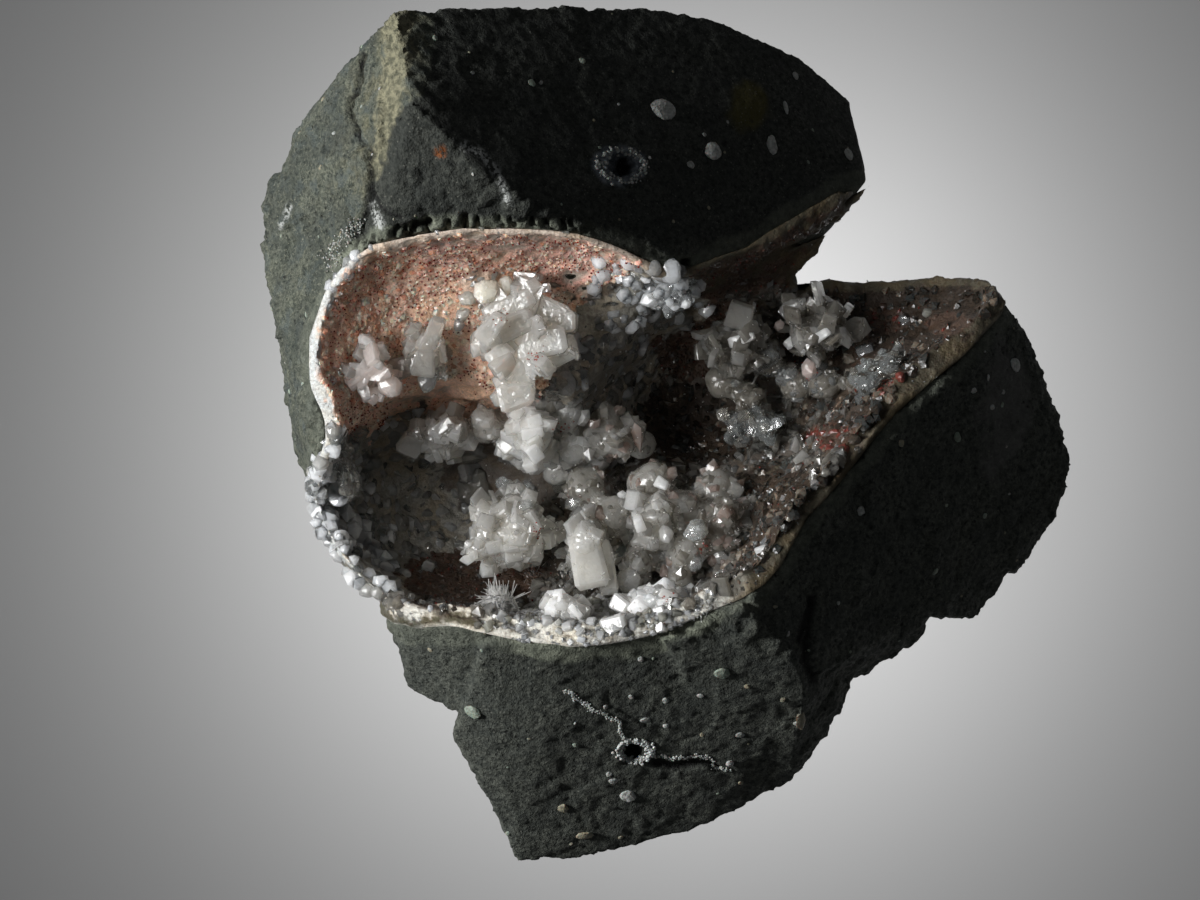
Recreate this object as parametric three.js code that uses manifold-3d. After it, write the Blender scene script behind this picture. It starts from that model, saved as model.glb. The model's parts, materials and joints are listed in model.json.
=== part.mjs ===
// A hand specimen of thomsonite: a broken lump of amygdaloidal basalt with a crystal-lined cavity.
//
// The lump lies on its broken back with the cavity facing up. Units are millimetres, +Z is up, and the
// origin is under the middle of the lump, on the surface that it rests on. The lump is a union of convex
// blocks, one for each stretch that broke off along its own joints. The cavity is a chain of rounded
// lobes cut out of them. A pale crust lines it, and groups of intergrown crystals stand on the crust.
import * as THREE from "three";
import { ConvexGeometry } from "three/addons/geometries/ConvexGeometry.js";
import { mergeVertices } from "three/addons/utils/BufferGeometryUtils.js";
import Module from "manifold-3d";

const wasm = await Module();
wasm.setup();

// Driving dimensions
const SEAT_GAP = 0.3; // clearance between two minerals that grew against each other
const CRUST = 1.6; // thickness of the crust on the cavity wall
const LOW_SIDE_CRUST = 1.2; // how far the crust's inner face is shifted off the low side of the cavity
const WALL_DETAIL = 8; // subdivision of the cavity wall
const WALL_HALVINGS = 16; // how often the distance to the wall is halved while it is looked for
const BLEND = 6; // how widely neighbouring lobes run into each other
const SWELL = 0.5; // height of the low swells on the cavity wall
const SWELL_WIDTHS = [3.1, 3.7, 4.3, 5]; // widths of the swells, over 2 pi
const ROOT_WIDTH = 0.9; // half width of a group's rounded root, as a share of the group's
const ROOT_HEIGHT = 0.55; // half height of the root, as a share of the group's rise off the crust
const ROOT_DEPTH = 0.6; // depth of the root's middle below the group's top, as a share of the rise
const STAND = [0.76, 0.48]; // how far out and up the crystals stand, as shares of the width and the rise
const TALLEST = 0.62; // length of a group's crystals, as a share of its half width
const SPREAD = 0.25; // how much longer some of them are
const LEAN = 0.5; // radians that a crystal leans at most
const STEP_ROUND = 2.4; // radians around the group from one crystal to the next
const FLAKE_MIDDLE = [27.3, 35.8, 36]; // the flake of crust that sticks out beside the mouth
const FLAKE_RADIUS = 1.4; // at its root
const FLAKE_LENGTH = 8;
const FLAKE_TURN = -53; // degrees about Z from +Y
const HEART = [-10, 4, 57]; // a point that every stretch of the cavity wall can be seen from

const UP = new THREE.Vector3(0, 0, 1);

const basalt = new THREE.MeshStandardMaterial({ color: 0x2f322c, roughness: 0.93, metalness: 0 });
const paleCrust = new THREE.MeshStandardMaterial({ color: 0xb5aa98, roughness: 0.6, metalness: 0 });
const milky = new THREE.MeshStandardMaterial({ color: 0xd9d3cc, roughness: 0.35, metalness: 0 });
const glassy = new THREE.MeshStandardMaterial({ color: 0xa9b4ba, roughness: 0.15, metalness: 0 });
const rosy = new THREE.MeshStandardMaterial({ color: 0xcfaea5, roughness: 0.35, metalness: 0 });

// The blocks of the lump: the corners of each convex block, [x, y, z]. Corners at z = 0 are on the flat back.
const BLOCKS = {
  heart: [
    [-42, 28.75, 69], [-53.5, 0.75, 59], [-42, -22.25, 58], [-16.5, -30.25, 61], [10, -24.25, 61],
    [18.5, -12.25, 56], [-2, 27.25, 61], [-18.5, 32.25, 69], [13, 10.75, 56], [19.5, 24.25, 26],
    [-41, 18.75, 0], [-43, -14.25, 0], [-16, -29.25, 0], [14, -19.25, 0], [17, 15.75, 0], [-11, 30.75, 0],
  ],
  head: [
    [-40.5, 61.75, 68], [-37.5, 47.25, 76], [-29.5, 39.25, 75], [-18.5, 32.25, 71.5], [-2, 27.25, 62.5],
    [-4, 63.75, 47], [7, 62.25, 42], [19.5, 57.25, 36], [27, 51.25, 32], [29, 41.75, 34],
    [29.5, 38.75, 37], [15, 50.75, 43.5], [-61.5, 34.25, 46], [-55.5, 44.75, 50], [-50.5, 51.25, 52],
    [-46, 55.75, 58], [-60, 26.25, 46], [-42, 28.75, 69.5], [3, 14.75, 55], [19.8, 25.55, 27],
    [-47, 26.75, 0], [-45, 44.75, 0], [-31, 53.75, 0], [-1, 55.75, 0], [17, 46.75, 0], [21, 36.75, 0],
    [14, 22.75, 0], [-41, 18.75, 0],
  ],
  leftWall: [
    [-61, 30.25, 44], [-58, 16.25, 40], [-56.5, 6.25, 38], [-56.5, -1.25, 38], [-54.5, -8.75, 38],
    [-50.5, -18.25, 40], [-43.5, -24.25, 42], [-42, 28.75, 69.5], [-48, 21.25, 66], [-52, 9.75, 62.5],
    [-53.7, 0.75, 59], [-51, -7.75, 58], [-47.5, -15.75, 58], [-42.5, -22.25, 58.5], [-31, 15.75, 60],
    [-26, -14.25, 58], [-47, 26.75, 0], [-48, 0.75, 0], [-41, -17.25, 0], [-21, 15.75, 0],
    [-21, -14.25, 0],
  ],
  foot: [
    [-43.5, -24.25, 50], [-39, -37.25, 47], [-31, -40.75, 50], [-40, -23.75, 59], [-31, -27.75, 61],
    [-16.5, -30.25, 62], [-35, -29.25, 0], [-27, -37.25, 0], [-11, -35.25, 0], [-11, -9.25, 0],
    [-31, -9.25, 0],
  ],
  toe: [
    [-32, -44.25, 49], [-31, -42.25, 51], [-23, -63.75, 38], [-11, -62.75, 37], [3, -59.75, 36.5],
    [13, -54.25, 38], [-28, -30.25, 61], [-16.5, -30.25, 62], [10, -24.25, 62], [19, -39.25, 50],
    [-25, -51.25, 0], [-11, -55.25, 0], [7, -49.25, 0], [13, -35.25, 0], [9, -9.25, 0], [-26, -14.25, 0],
  ],
  keel: [
    [10, -24.25, 62.5], [18, -32.25, 57.5], [19.5, -37.25, 53], [19, -44.75, 46], [17.5, -52.25, 38],
    [13, -54.25, 37], [23.5, -45.25, 37], [27, -37.25, 38], [-2, -29.75, 62], [5, -45.25, 0],
    [17, -39.25, 0], [21, -31.25, 0], [15, -15.25, 0],
  ],
  heel: [
    [27, -37.25, 35], [37, -30.75, 34], [38.5, -27.75, 36], [19.5, -35.25, 53], [11, -23.75, 62],
    [30, -19.25, 48], [19, -31.25, 0], [33, -24.25, 0], [9, -11.25, 0], [33, -9.25, 0],
  ],
  shoulder: [
    [38, -26.75, 38], [47, -27.25, 28], [50.5, -19.25, 30], [58.5, -12.75, 26], [61.5, -4.25, 26],
    [59, 1.25, 28], [57, 6.25, 30], [55, 13.75, 31], [48, 23.25, 39], [47, 24.95, 34], [41, 25.25, 28],
    [21, 23.75, 24], [11, -23.75, 62], [18.5, -12.25, 57], [27, -2.75, 52], [38.5, 6.25, 46],
    [45.5, 16.25, 41.5], [5, -3.25, 58], [39, -19.25, 0], [49, -7.25, 0], [49, 6.75, 0], [42, 17.75, 0],
    [20, 17.75, 0], [4, 0.75, 0], [4, -19.25, 0],
  ],
};

// The lobes of the cavity: centre, half lengths, and turn about Z in degrees.
const LOBES = [
  { centre: [-29, -10.25, 49], radii: [25.5, 19, 31], turn: -4 }, // deep bowl on the left
  { centre: [-8, -14.25, 55], radii: [25, 15.5, 25], turn: 8 }, // its low right side
  { centre: [-35, 12.25, 69], radii: [19, 17, 21], turn: 10 }, // upper left shelf
  { centre: [-17, 14.75, 68], radii: [19, 14.5, 24], turn: -2 }, // the shelf's right end
  { centre: [8, 5.75, 58], radii: [30, 19.5, 40], turn: 36 }, // channel to the mouth
  { centre: [35, 25.25, 46], radii: [25, 15.5, 25], turn: 36 }, // mouth
];

// The plain form of each habit, as shares of the crystal's length: width, thickness and height, or radius.
const HABITS = {
  blade: [0.75, 0.28, 1.5],
  block: [0.8, 0.8, 1],
  ball: [0.6],
};

// Crystal groups: plan centre, half width and half depth, height of the top, turn, habit, count and mineral
// look, which is milky where none is named.
const GROUPS = {
  shelf_blades: { at: [-23, 14.8], half: [9, 7.4], top: 59, turn: 10, habit: "blade", count: 9 },
  shelf_plate: { at: [-36, 12.6], half: [3.6, 5.6], top: 57, turn: 20, habit: "blade", count: 5, of: rosy },
  rosy_tuft: { at: [-44.8, 9], half: [4.6, 5], top: 58, habit: "block", count: 6, of: rosy },
  ledge_blades: { at: [-34.6, 0.4], half: [5.6, 4.2], top: 47, habit: "blade", count: 6 },
  middle_column: { at: [-21.2, 0], half: [4.6, 6], top: 49, habit: "block", count: 6 },
  middle_rosette: { at: [-9.6, 0], half: [5.4, 5.4], top: 44, habit: "ball", count: 7 },
  pale_dome: { at: [-24.6, -14.4], half: [7.4, 7], top: 51, habit: "ball", count: 9 },
  needle_spray: { at: [-26, -24.6], half: [3, 2.4], top: 50, habit: "block", count: 4 },
  tall_blades: { at: [-12.6, -16], half: [4, 6.6], top: 51, habit: "blade", count: 6 },
  round_mass: { at: [-3, -13.2], half: [4.4, 6.6], top: 50, habit: "ball", count: 7 },
  right_mass: { at: [7.2, -13.6], half: [4.8, 6.4], top: 49, habit: "ball", count: 7, of: glassy },
  rim_blocks_left: { at: [-15.8, -25.6], half: [5, 2.6], top: 58, habit: "block", count: 5 },
  rim_blocks_right: { at: [-2.4, -24.4], half: [7.4, 2.8], top: 58, turn: 6, habit: "block", count: 6 },
  left_rim_beads: { at: [-49.2, -5.4], half: [2.6, 6.4], top: 50, turn: 12, habit: "ball", count: 6, of: glassy },
  blue_beads: { at: [0, 21.2], half: [4.8, 3.6], top: 56, turn: 20, habit: "ball", count: 6, of: glassy },
  channel_blades: { at: [10, 13.8], half: [5.8, 4.8], top: 40, turn: 10, habit: "blade", count: 7 },
  mouth_blades: { at: [21.8, 16.6], half: [5.4, 4.8], top: 40, turn: 25, habit: "blade", count: 7 },
  slope_druse: { at: [31.4, 9.2], half: [6.4, 4.4], top: 45, turn: 45, habit: "ball", count: 7, of: glassy },
  channel_beads: { at: [12.8, 1.6], half: [6, 4], top: 36, turn: 10, habit: "ball", count: 7, of: glassy },
};

// The solid inside a closed geometry.
function solidOf(geometry) {
  const bare = geometry.clone();
  bare.deleteAttribute("normal");
  bare.deleteAttribute("uv");
  const merged = mergeVertices(bare, 1e-4);
  return new wasm.Manifold(
    new wasm.Mesh({
      numProp: 3,
      vertProperties: new Float32Array(merged.attributes.position.array),
      triVerts: new Uint32Array(merged.index.array),
    }),
  );
}

// A named mesh that holds a solid.
function meshOf(name, solid, material) {
  const { vertProperties, triVerts } = solid.getMesh();
  const geometry = new THREE.BufferGeometry();
  geometry.setAttribute("position", new THREE.BufferAttribute(vertProperties, 3));
  geometry.setIndex(new THREE.BufferAttribute(triVerts, 1));
  geometry.computeVertexNormals();
  const mesh = new THREE.Mesh(geometry, material);
  mesh.name = name;
  return mesh;
}

const joined = (solids) => solids.reduce((whole, solid) => whole.add(solid));

// A solid without the crumbs that a cut leaves beside it.
const largest = (solid) => solid.decompose().reduce((a, b) => (b.volume() > a.volume() ? b : a));

// A convex block with the given corners.
function block(corners) {
  return solidOf(new ConvexGeometry(corners.map((corner) => new THREE.Vector3(...corner))));
}

// Roughly how far a point is outside one lobe; negative inside it.
function outsideLobe(point, { centre, radii, turn }) {
  const angle = THREE.MathUtils.degToRad(turn);
  const [dx, dy, dz] = [point.x - centre[0], point.y - centre[1], point.z - centre[2]];
  const own = [dx * Math.cos(angle) + dy * Math.sin(angle), dy * Math.cos(angle) - dx * Math.sin(angle), dz];
  const share = Math.hypot(...own.map((length, i) => length / radii[i]));
  const steepness = Math.hypot(...own.map((length, i) => length / radii[i] ** 2));
  return steepness > 0 ? (share * (share - 1)) / steepness : -Math.min(...radii);
}

// How far a point is outside the cavity, whose lobes run smoothly into each other.
function outsideCavity(point) {
  const [a, b, c, d] = SWELL_WIDTHS;
  const swell = Math.sin(point.x / a) * Math.cos(point.y / b) + Math.sin(point.z / c + point.x / d);
  const distances = LOBES.map((each) => outsideLobe(point, each));
  const nearest = distances.reduce((one, other) => {
    const mix = Math.max(BLEND - Math.abs(one - other), 0) / BLEND;
    return Math.min(one, other) - (mix * mix * BLEND) / 4;
  });
  return nearest + SWELL * swell;
}

// The cavity, grown by `grow` on every side and shifted by `shift` along Y.
function cavity(grow, shift = 0) {
  const heart = new THREE.Vector3(...HEART);
  const wall = new THREE.IcosahedronGeometry(1, WALL_DETAIL);
  const place = wall.attributes.position;
  const along = new THREE.Vector3();
  for (let i = 0; i < place.count; i++) {
    along.fromBufferAttribute(place, i).normalize();
    const outside = (reach) => outsideCavity(along.clone().multiplyScalar(reach).add(heart)) > grow;
    let [near, far] = [0, 1];
    while (!outside(far)) [near, far] = [far, far + 1];
    for (let halving = 0; halving < WALL_HALVINGS; halving++) {
      const middle = (near + far) / 2;
      if (outside(middle)) far = middle;
      else near = middle;
    }
    place.setXYZ(i, ...along.multiplyScalar(near).add(heart).toArray());
  }
  wall.translate(0, shift, 0);
  return solidOf(wall);
}

// Height of the crust under a plan point inside the cavity.
function wallHeight(x, y) {
  const point = new THREE.Vector3(x, y - LOW_SIDE_CRUST, HEART[2]);
  while (outsideCavity(point) > -CRUST && point.z > 0) point.z -= 0.2;
  while (outsideCavity(point) < -CRUST) point.z -= 0.2;
  return point.z;
}

// A repeatable stream of numbers from 0 to 1.
function stream(seed) {
  let state = seed * 7919 + 1;
  return () => {
    state = (state * 48271) % 2147483647;
    return state / 2147483647;
  };
}

// The plain form of one crystal of a habit, `size` long.
function crystal(habit, size) {
  const shares = HABITS[habit].map((share) => share * size);
  return habit === "ball" ? new THREE.IcosahedronGeometry(...shares) : new THREE.BoxGeometry(...shares);
}

// One group: a rounded root with crystals standing out of its upper side, cut off by the crust.
function group({ at, half, top, turn = 0, habit, count }, room, seed) {
  const next = stream(seed);
  const angle = THREE.MathUtils.degToRad(turn);
  const rise = top - wallHeight(...at);
  const middle = [...at, top - ROOT_DEPTH * rise];
  const root = new THREE.IcosahedronGeometry(1);
  root.scale(ROOT_WIDTH * half[0], ROOT_WIDTH * half[1], ROOT_HEIGHT * rise);
  root.rotateZ(angle).translate(...middle);
  const grown = [solidOf(root)];
  for (let i = 0; i < count; i++) {
    const height = 1 - (0.9 * (i + 0.5)) / count;
    const ring = Math.sqrt(1 - height * height);
    const bearing = i * STEP_ROUND + next();
    const out = new THREE.Vector3(ring * Math.cos(bearing), ring * Math.sin(bearing), height);
    const form = crystal(habit, Math.min(...half) * (TALLEST + SPREAD * next()));
    form.rotateX(LEAN * next()).rotateZ(Math.PI * next());
    form.applyQuaternion(new THREE.Quaternion().setFromUnitVectors(UP, out));
    form.translate(STAND[0] * half[0] * out.x, STAND[0] * half[1] * out.y, STAND[1] * rise * out.z);
    form.rotateZ(angle).translate(...middle);
    grown.push(solidOf(form));
  }
  return largest(joined(grown).intersect(room));
}

// The small flake of crust that sticks out beside the mouth.
function flake(grow) {
  const cone = new THREE.ConeGeometry(FLAKE_RADIUS + grow, FLAKE_LENGTH + 2 * grow, 7);
  cone.rotateZ(THREE.MathUtils.degToRad(FLAKE_TURN)).translate(...FLAKE_MIDDLE);
  return solidOf(cone);
}

const lump = joined(Object.values(BLOCKS).map(block));
const matrix = lump.subtract(cavity(SEAT_GAP)).subtract(flake(SEAT_GAP));
const room = cavity(-CRUST, LOW_SIDE_CRUST);
const crust = largest(cavity(0).intersect(lump).add(flake(0)).subtract(room));
const clear = cavity(-CRUST - SEAT_GAP, LOW_SIDE_CRUST);

const specimen = new THREE.Group();
specimen.add(meshOf("basalt_matrix", matrix, basalt));
specimen.add(meshOf("cavity_crust", crust, paleCrust));
Object.entries(GROUPS).forEach(([name, each], index) => {
  specimen.add(meshOf(name, group(each, clear, index + 1), each.of ?? milky));
});

export default specimen;
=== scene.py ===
import json
import math
import random

import bpy
import numpy as np
from mathutils import Matrix, Vector, noise
from mathutils.bvhtree import BVHTree

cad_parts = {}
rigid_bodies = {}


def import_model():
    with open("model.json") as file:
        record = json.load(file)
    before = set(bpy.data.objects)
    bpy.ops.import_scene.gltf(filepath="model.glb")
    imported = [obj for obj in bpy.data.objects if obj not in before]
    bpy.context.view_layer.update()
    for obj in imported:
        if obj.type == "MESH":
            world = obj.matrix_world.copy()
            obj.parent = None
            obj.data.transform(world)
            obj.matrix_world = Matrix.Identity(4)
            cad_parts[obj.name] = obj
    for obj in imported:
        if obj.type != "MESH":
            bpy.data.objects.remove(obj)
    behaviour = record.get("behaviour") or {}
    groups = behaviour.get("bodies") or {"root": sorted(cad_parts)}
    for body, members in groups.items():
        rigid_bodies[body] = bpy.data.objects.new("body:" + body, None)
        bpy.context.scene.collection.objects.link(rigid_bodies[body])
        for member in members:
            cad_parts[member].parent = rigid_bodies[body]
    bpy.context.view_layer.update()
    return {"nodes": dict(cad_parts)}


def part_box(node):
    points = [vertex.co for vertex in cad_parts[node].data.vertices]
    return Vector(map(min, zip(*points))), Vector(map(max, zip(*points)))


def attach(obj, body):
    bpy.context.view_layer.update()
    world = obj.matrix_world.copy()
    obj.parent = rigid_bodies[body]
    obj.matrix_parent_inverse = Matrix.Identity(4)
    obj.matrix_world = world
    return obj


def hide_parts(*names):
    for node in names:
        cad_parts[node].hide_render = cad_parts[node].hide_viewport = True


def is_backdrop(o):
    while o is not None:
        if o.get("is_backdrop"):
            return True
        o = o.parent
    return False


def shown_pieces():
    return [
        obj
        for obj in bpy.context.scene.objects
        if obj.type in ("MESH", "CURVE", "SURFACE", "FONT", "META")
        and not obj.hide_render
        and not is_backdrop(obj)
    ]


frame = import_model()

# A hand specimen of thomsonite: a broken lump of dark basalt with a cavity that is lined with a pale
# crust and grown full of white, clear and rosy crystals. Sizes are in millimetres unless a line says
# otherwise, and MM turns them into the scene's metres.
MM = 0.001
SEED = 7
noise.seed_set(SEED)  # without it the rock's breaks would differ from run to run
ROCK_GRID = 0.52  # mesh squares of the rock while it is worked
CRUST_GRID = 0.42  # mesh squares of the crust while it is worked
ROOT_GRID = 0.5  # mesh squares of the mass under a crystal group
ROCK_FACES = 190000  # triangles left in the rock
CRUST_FACES = 180000  # triangles left in the crust
CALM_RIM = (0.3, 2.5)  # the rock's relief fades in over this distance from the crust
CRUST_GROWTH = 0.55  # how far the crust's hidden back is let into the rock
DRUSE_TRIES = 60000
GROUP_TRIES = 1200
RIM_TRIES = 20000
SEARCH_CELL = 2.5  # side of the cells in which a new crystal looks for its neighbours
FLOOR_SIZE = 6000.0
PLAN_REACH = 70.0  # half the side of the plan the crust's outline is looked up on
OUTLINE_GRID = 0.6
RIM_WIDTH = 1.95  # the crust's broken edge, with the part let into the rock

# Colours of crystals and grounds: red, green and blue, linear, and how clear a crystal of it is
SNOW = (0.96, 0.95, 0.92, 0.0)
WHITE = (0.90, 0.88, 0.83, 0.35)
CHALKY = (0.85, 0.83, 0.76, 0.4)
MILK = (0.83, 0.81, 0.75, 0.55)
PEARL = (0.78, 0.76, 0.70, 0.65)
GREY = (0.68, 0.66, 0.60, 0.75)
DIM = (0.32, 0.30, 0.26, 0.7)
MURK = (0.15, 0.135, 0.11, 0.6)
SOOT = (0.055, 0.048, 0.038, 0.6)
SLATE = (0.040, 0.044, 0.042, 0.6)
CREAM = (0.70, 0.67, 0.50, 0.6)
STRAW = (0.80, 0.76, 0.61, 0.25)
ROSE = (0.72, 0.52, 0.46, 0.5)
DUSK = (0.34, 0.25, 0.215, 0.6)
BLOSSOM = (0.80, 0.66, 0.60, 0.5)
ICE = (0.88, 0.92, 0.94, 0.35)
FROST = (0.93, 0.97, 0.98, 0.12)
SMOKE = (0.50, 0.53, 0.53, 0.85)
PEACH = (0.94, 0.61, 0.46, 0.1)
BLUSH = (0.92, 0.52, 0.43, 0.1)
FLESH = (0.95, 0.70, 0.56, 0.1)
TAWNY = (0.70, 0.36, 0.25, 0.1)
BROWN = (0.07, 0.047, 0.035, 0.1)
IRON = (0.20, 0.035, 0.024, 0.0)
RUST = (0.13, 0.012, 0.009, 0.0)
GARNET = (0.13, 0.035, 0.026, 0.1)
NIGHT = (0.028, 0.024, 0.019, 0.0)
SHADE = (0.10, 0.092, 0.08, 0.0)
ASH = (0.30, 0.295, 0.26, 0.0)


# ---------------------------------------------------------------- bench tools


def only(piece):
    """Selects one piece and nothing else."""
    bpy.ops.object.select_all(action="DESELECT")
    piece.select_set(True)
    bpy.context.view_layer.objects.active = piece


def edit_all(piece):
    """Goes to edit mode with everything of one piece selected."""
    only(piece)
    bpy.ops.object.mode_set(mode="EDIT")
    bpy.ops.mesh.select_all(action="SELECT")


def finish_with(piece, kind, **settings):
    """Adds one modifier to a piece and applies it."""
    only(piece)
    modifier = piece.modifiers.new(kind.lower(), kind)
    for key, value in settings.items():
        setattr(modifier, key, value)
    bpy.ops.object.modifier_apply(modifier=modifier.name)


def places(mesh):
    """The mesh's points in millimetres, one row each."""
    flat = np.empty(len(mesh.vertices) * 3, np.float32)
    mesh.vertices.foreach_get("co", flat)
    return flat.reshape(-1, 3).astype(float) / MM


def put(mesh, points):
    """Moves the mesh's points to these places in millimetres."""
    mesh.vertices.foreach_set("co", (points * MM).astype(np.float32).ravel())
    mesh.update()


def outward(mesh):
    """The mesh's normal at each point."""
    flat = np.empty(len(mesh.vertices) * 3, np.float32)
    mesh.vertex_normals.foreach_get("vector", flat)
    return flat.reshape(-1, 3).astype(float)


def colour_points(mesh, colours):
    """Keeps a colour and a clearness for each point as its tint."""
    attribute = mesh.attributes.new("tint", "FLOAT_COLOR", "POINT")
    attribute.data.foreach_set("color", np.asarray(colours, np.float32).ravel())


def mark(mesh, name, values):
    """Keeps one number for each point, for the material to read."""
    attribute = mesh.attributes.new(name, "FLOAT", "POINT")
    attribute.data.foreach_set("value", np.asarray(values, np.float32))


def ease(low, high, values):
    """0 below low, 1 above high and smooth between; the other way round where low is above high."""
    share = np.clip((np.asarray(values, float) - low) / (high - low), 0, 1)
    return share * share * (3 - 2 * share)


def sampled(rule, points):
    """A rule of one place, worked out for each row of points."""
    return np.array([rule(Vector(point)) for point in points])


def way_to(points, line):
    """The way from each point to the nearest place of a line of plan points, seen from above."""
    plan = points[:, :2]
    nearest = np.full(plan.shape, 1e9)
    for start, end in zip(line, line[1:]):
        a, b = np.array(start), np.array(end)
        share = np.clip(((plan - a) @ (b - a)) / ((b - a) @ (b - a)), 0, 1)
        way = a + share[:, None] * (b - a) - plan
        closer = np.hypot(*way.T) < np.hypot(*nearest.T)
        nearest = np.where(closer[:, None], way, nearest)
    return nearest


def from_line(points, line):
    """How far each point is from a line of plan points, seen from above."""
    return np.hypot(*way_to(points, line).T)


def towards_line(points, out, line):
    """How squarely each point looks, on the plan, towards the nearest place of a line."""
    way = way_to(points, line)
    return (way * out[:, :2]).sum(1) / np.maximum(np.hypot(*way.T), 1e-6)


def tree_of(*pieces):
    """A search tree over the faces of one or more pieces, in millimetres."""
    corners, faces = [], []
    for piece in pieces:
        start = len(corners)
        corners += [tuple(point) for point in places(piece.data)]
        faces += [tuple(start + index for index in face.vertices) for face in piece.data.polygons]
    return BVHTree.FromPolygons(corners, faces)


def copy_of(node, name):
    """A new piece with the merged mesh of a CAD node."""
    piece = bpy.data.objects.new(name, frame["nodes"][node].data.copy())
    bpy.context.scene.collection.objects.link(piece)
    piece.data.materials.clear()
    edit_all(piece)
    bpy.ops.mesh.remove_doubles(threshold=1e-6)
    bpy.ops.object.mode_set(mode="OBJECT")
    return piece


def keep(piece, material, slot, *nodes):
    """Gives a finished piece its material and its place in the model."""
    piece.data.materials.clear()
    piece.data.materials.append(material)
    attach(piece, "root")
    if nodes:
        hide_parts(*nodes)


# ---------------------------------------------------------------- materials


class Finish:
    """A material with its shader, and short ways to add what it reads."""

    def __init__(self, name, **values):
        self.material = bpy.data.materials.new(name)
        self.material.use_nodes = True
        self.tree = self.material.node_tree
        self.shader = self.tree.nodes["Principled BSDF"]
        for socket, value in values.items():
            self.shader.inputs[socket.replace("_", " ")].default_value = value
        self.where = self.tree.nodes.new("ShaderNodeTexCoord").outputs["Object"]

    def link(self, source, target):
        self.tree.links.new(source, target)

    def number(self, name, part="Fac"):
        """What the mesh keeps under a name for each point."""
        node = self.tree.nodes.new("ShaderNodeAttribute")
        node.attribute_name = name
        return node.outputs[part]

    def tint(self, part="Color"):
        return self.number("tint", part)

    def cloud(self, width, detail=3.0, roughness=0.55):
        """Soft noise whose lumps are about width millimetres wide."""
        node = self.tree.nodes.new("ShaderNodeTexNoise")
        node.inputs["Scale"].default_value = 1 / (width * MM)
        node.inputs["Detail"].default_value = detail
        node.inputs["Roughness"].default_value = roughness
        self.link(self.where, node.inputs["Vector"])
        return node.outputs["Fac"]

    def cells(self, width, distance="EUCLIDEAN"):
        """0 in the middle of scattered cells and more towards their borders."""
        node = self.tree.nodes.new("ShaderNodeTexVoronoi")
        node.distance = distance
        node.inputs["Scale"].default_value = 1 / (width * MM)
        self.link(self.where, node.inputs["Vector"])
        return node.outputs["Distance"]

    def facets(self, width):
        """Small flat-sided humps, like the ends of tiny crystals."""
        return self.cells(width, "CHEBYCHEV")

    def stretch(self, source, low, high, to_low=0.0, to_high=1.0):
        """Maps low..high to to_low..to_high and cuts off what is outside."""
        node = self.tree.nodes.new("ShaderNodeMapRange")
        self.link(source, node.inputs["Value"])
        for socket, value in zip(("From Min", "From Max", "To Min", "To Max"), (low, high, to_low, to_high)):
            node.inputs[socket].default_value = value
        return node.outputs["Result"]

    def times(self, one, other):
        node = self.tree.nodes.new("ShaderNodeMath")
        node.operation = "MULTIPLY"
        for socket, value in zip(node.inputs, (one, other)):
            if isinstance(value, float):
                socket.default_value = value
            else:
                self.link(value, socket)
        return node.outputs[0]

    def mixed(self, share, one, other, blend="MIX"):
        """Colour one with colour other laid over it by share."""
        node = self.tree.nodes.new("ShaderNodeMix")
        node.data_type = "RGBA"
        node.blend_type = blend
        node.clamp_factor = True
        for socket, value in zip((node.inputs[0], node.inputs[6], node.inputs[7]), (share, one, other)):
            if isinstance(value, float):
                socket.default_value = value
            elif isinstance(value, tuple):
                socket.default_value = (*value, 1.0)
            else:
                self.link(value, socket)
        return node.outputs[2]

    def colour(self, source):
        self.link(source, self.shader.inputs["Base Color"])

    def roughen(self, source):
        self.link(source, self.shader.inputs["Roughness"])

    def bumps(self, *layers):
        """Fine relief: pairs of a height and how deep it goes in millimetres."""
        under = None
        for height, depth in layers:
            node = self.tree.nodes.new("ShaderNodeBump")
            node.inputs["Distance"].default_value = abs(depth) * MM
            self.link(height, node.inputs["Height"])
            node.invert = depth < 0
            if under:
                self.link(under, node.inputs["Normal"])
            under = node.outputs["Normal"]
        self.link(under, self.shader.inputs["Normal"])


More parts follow.
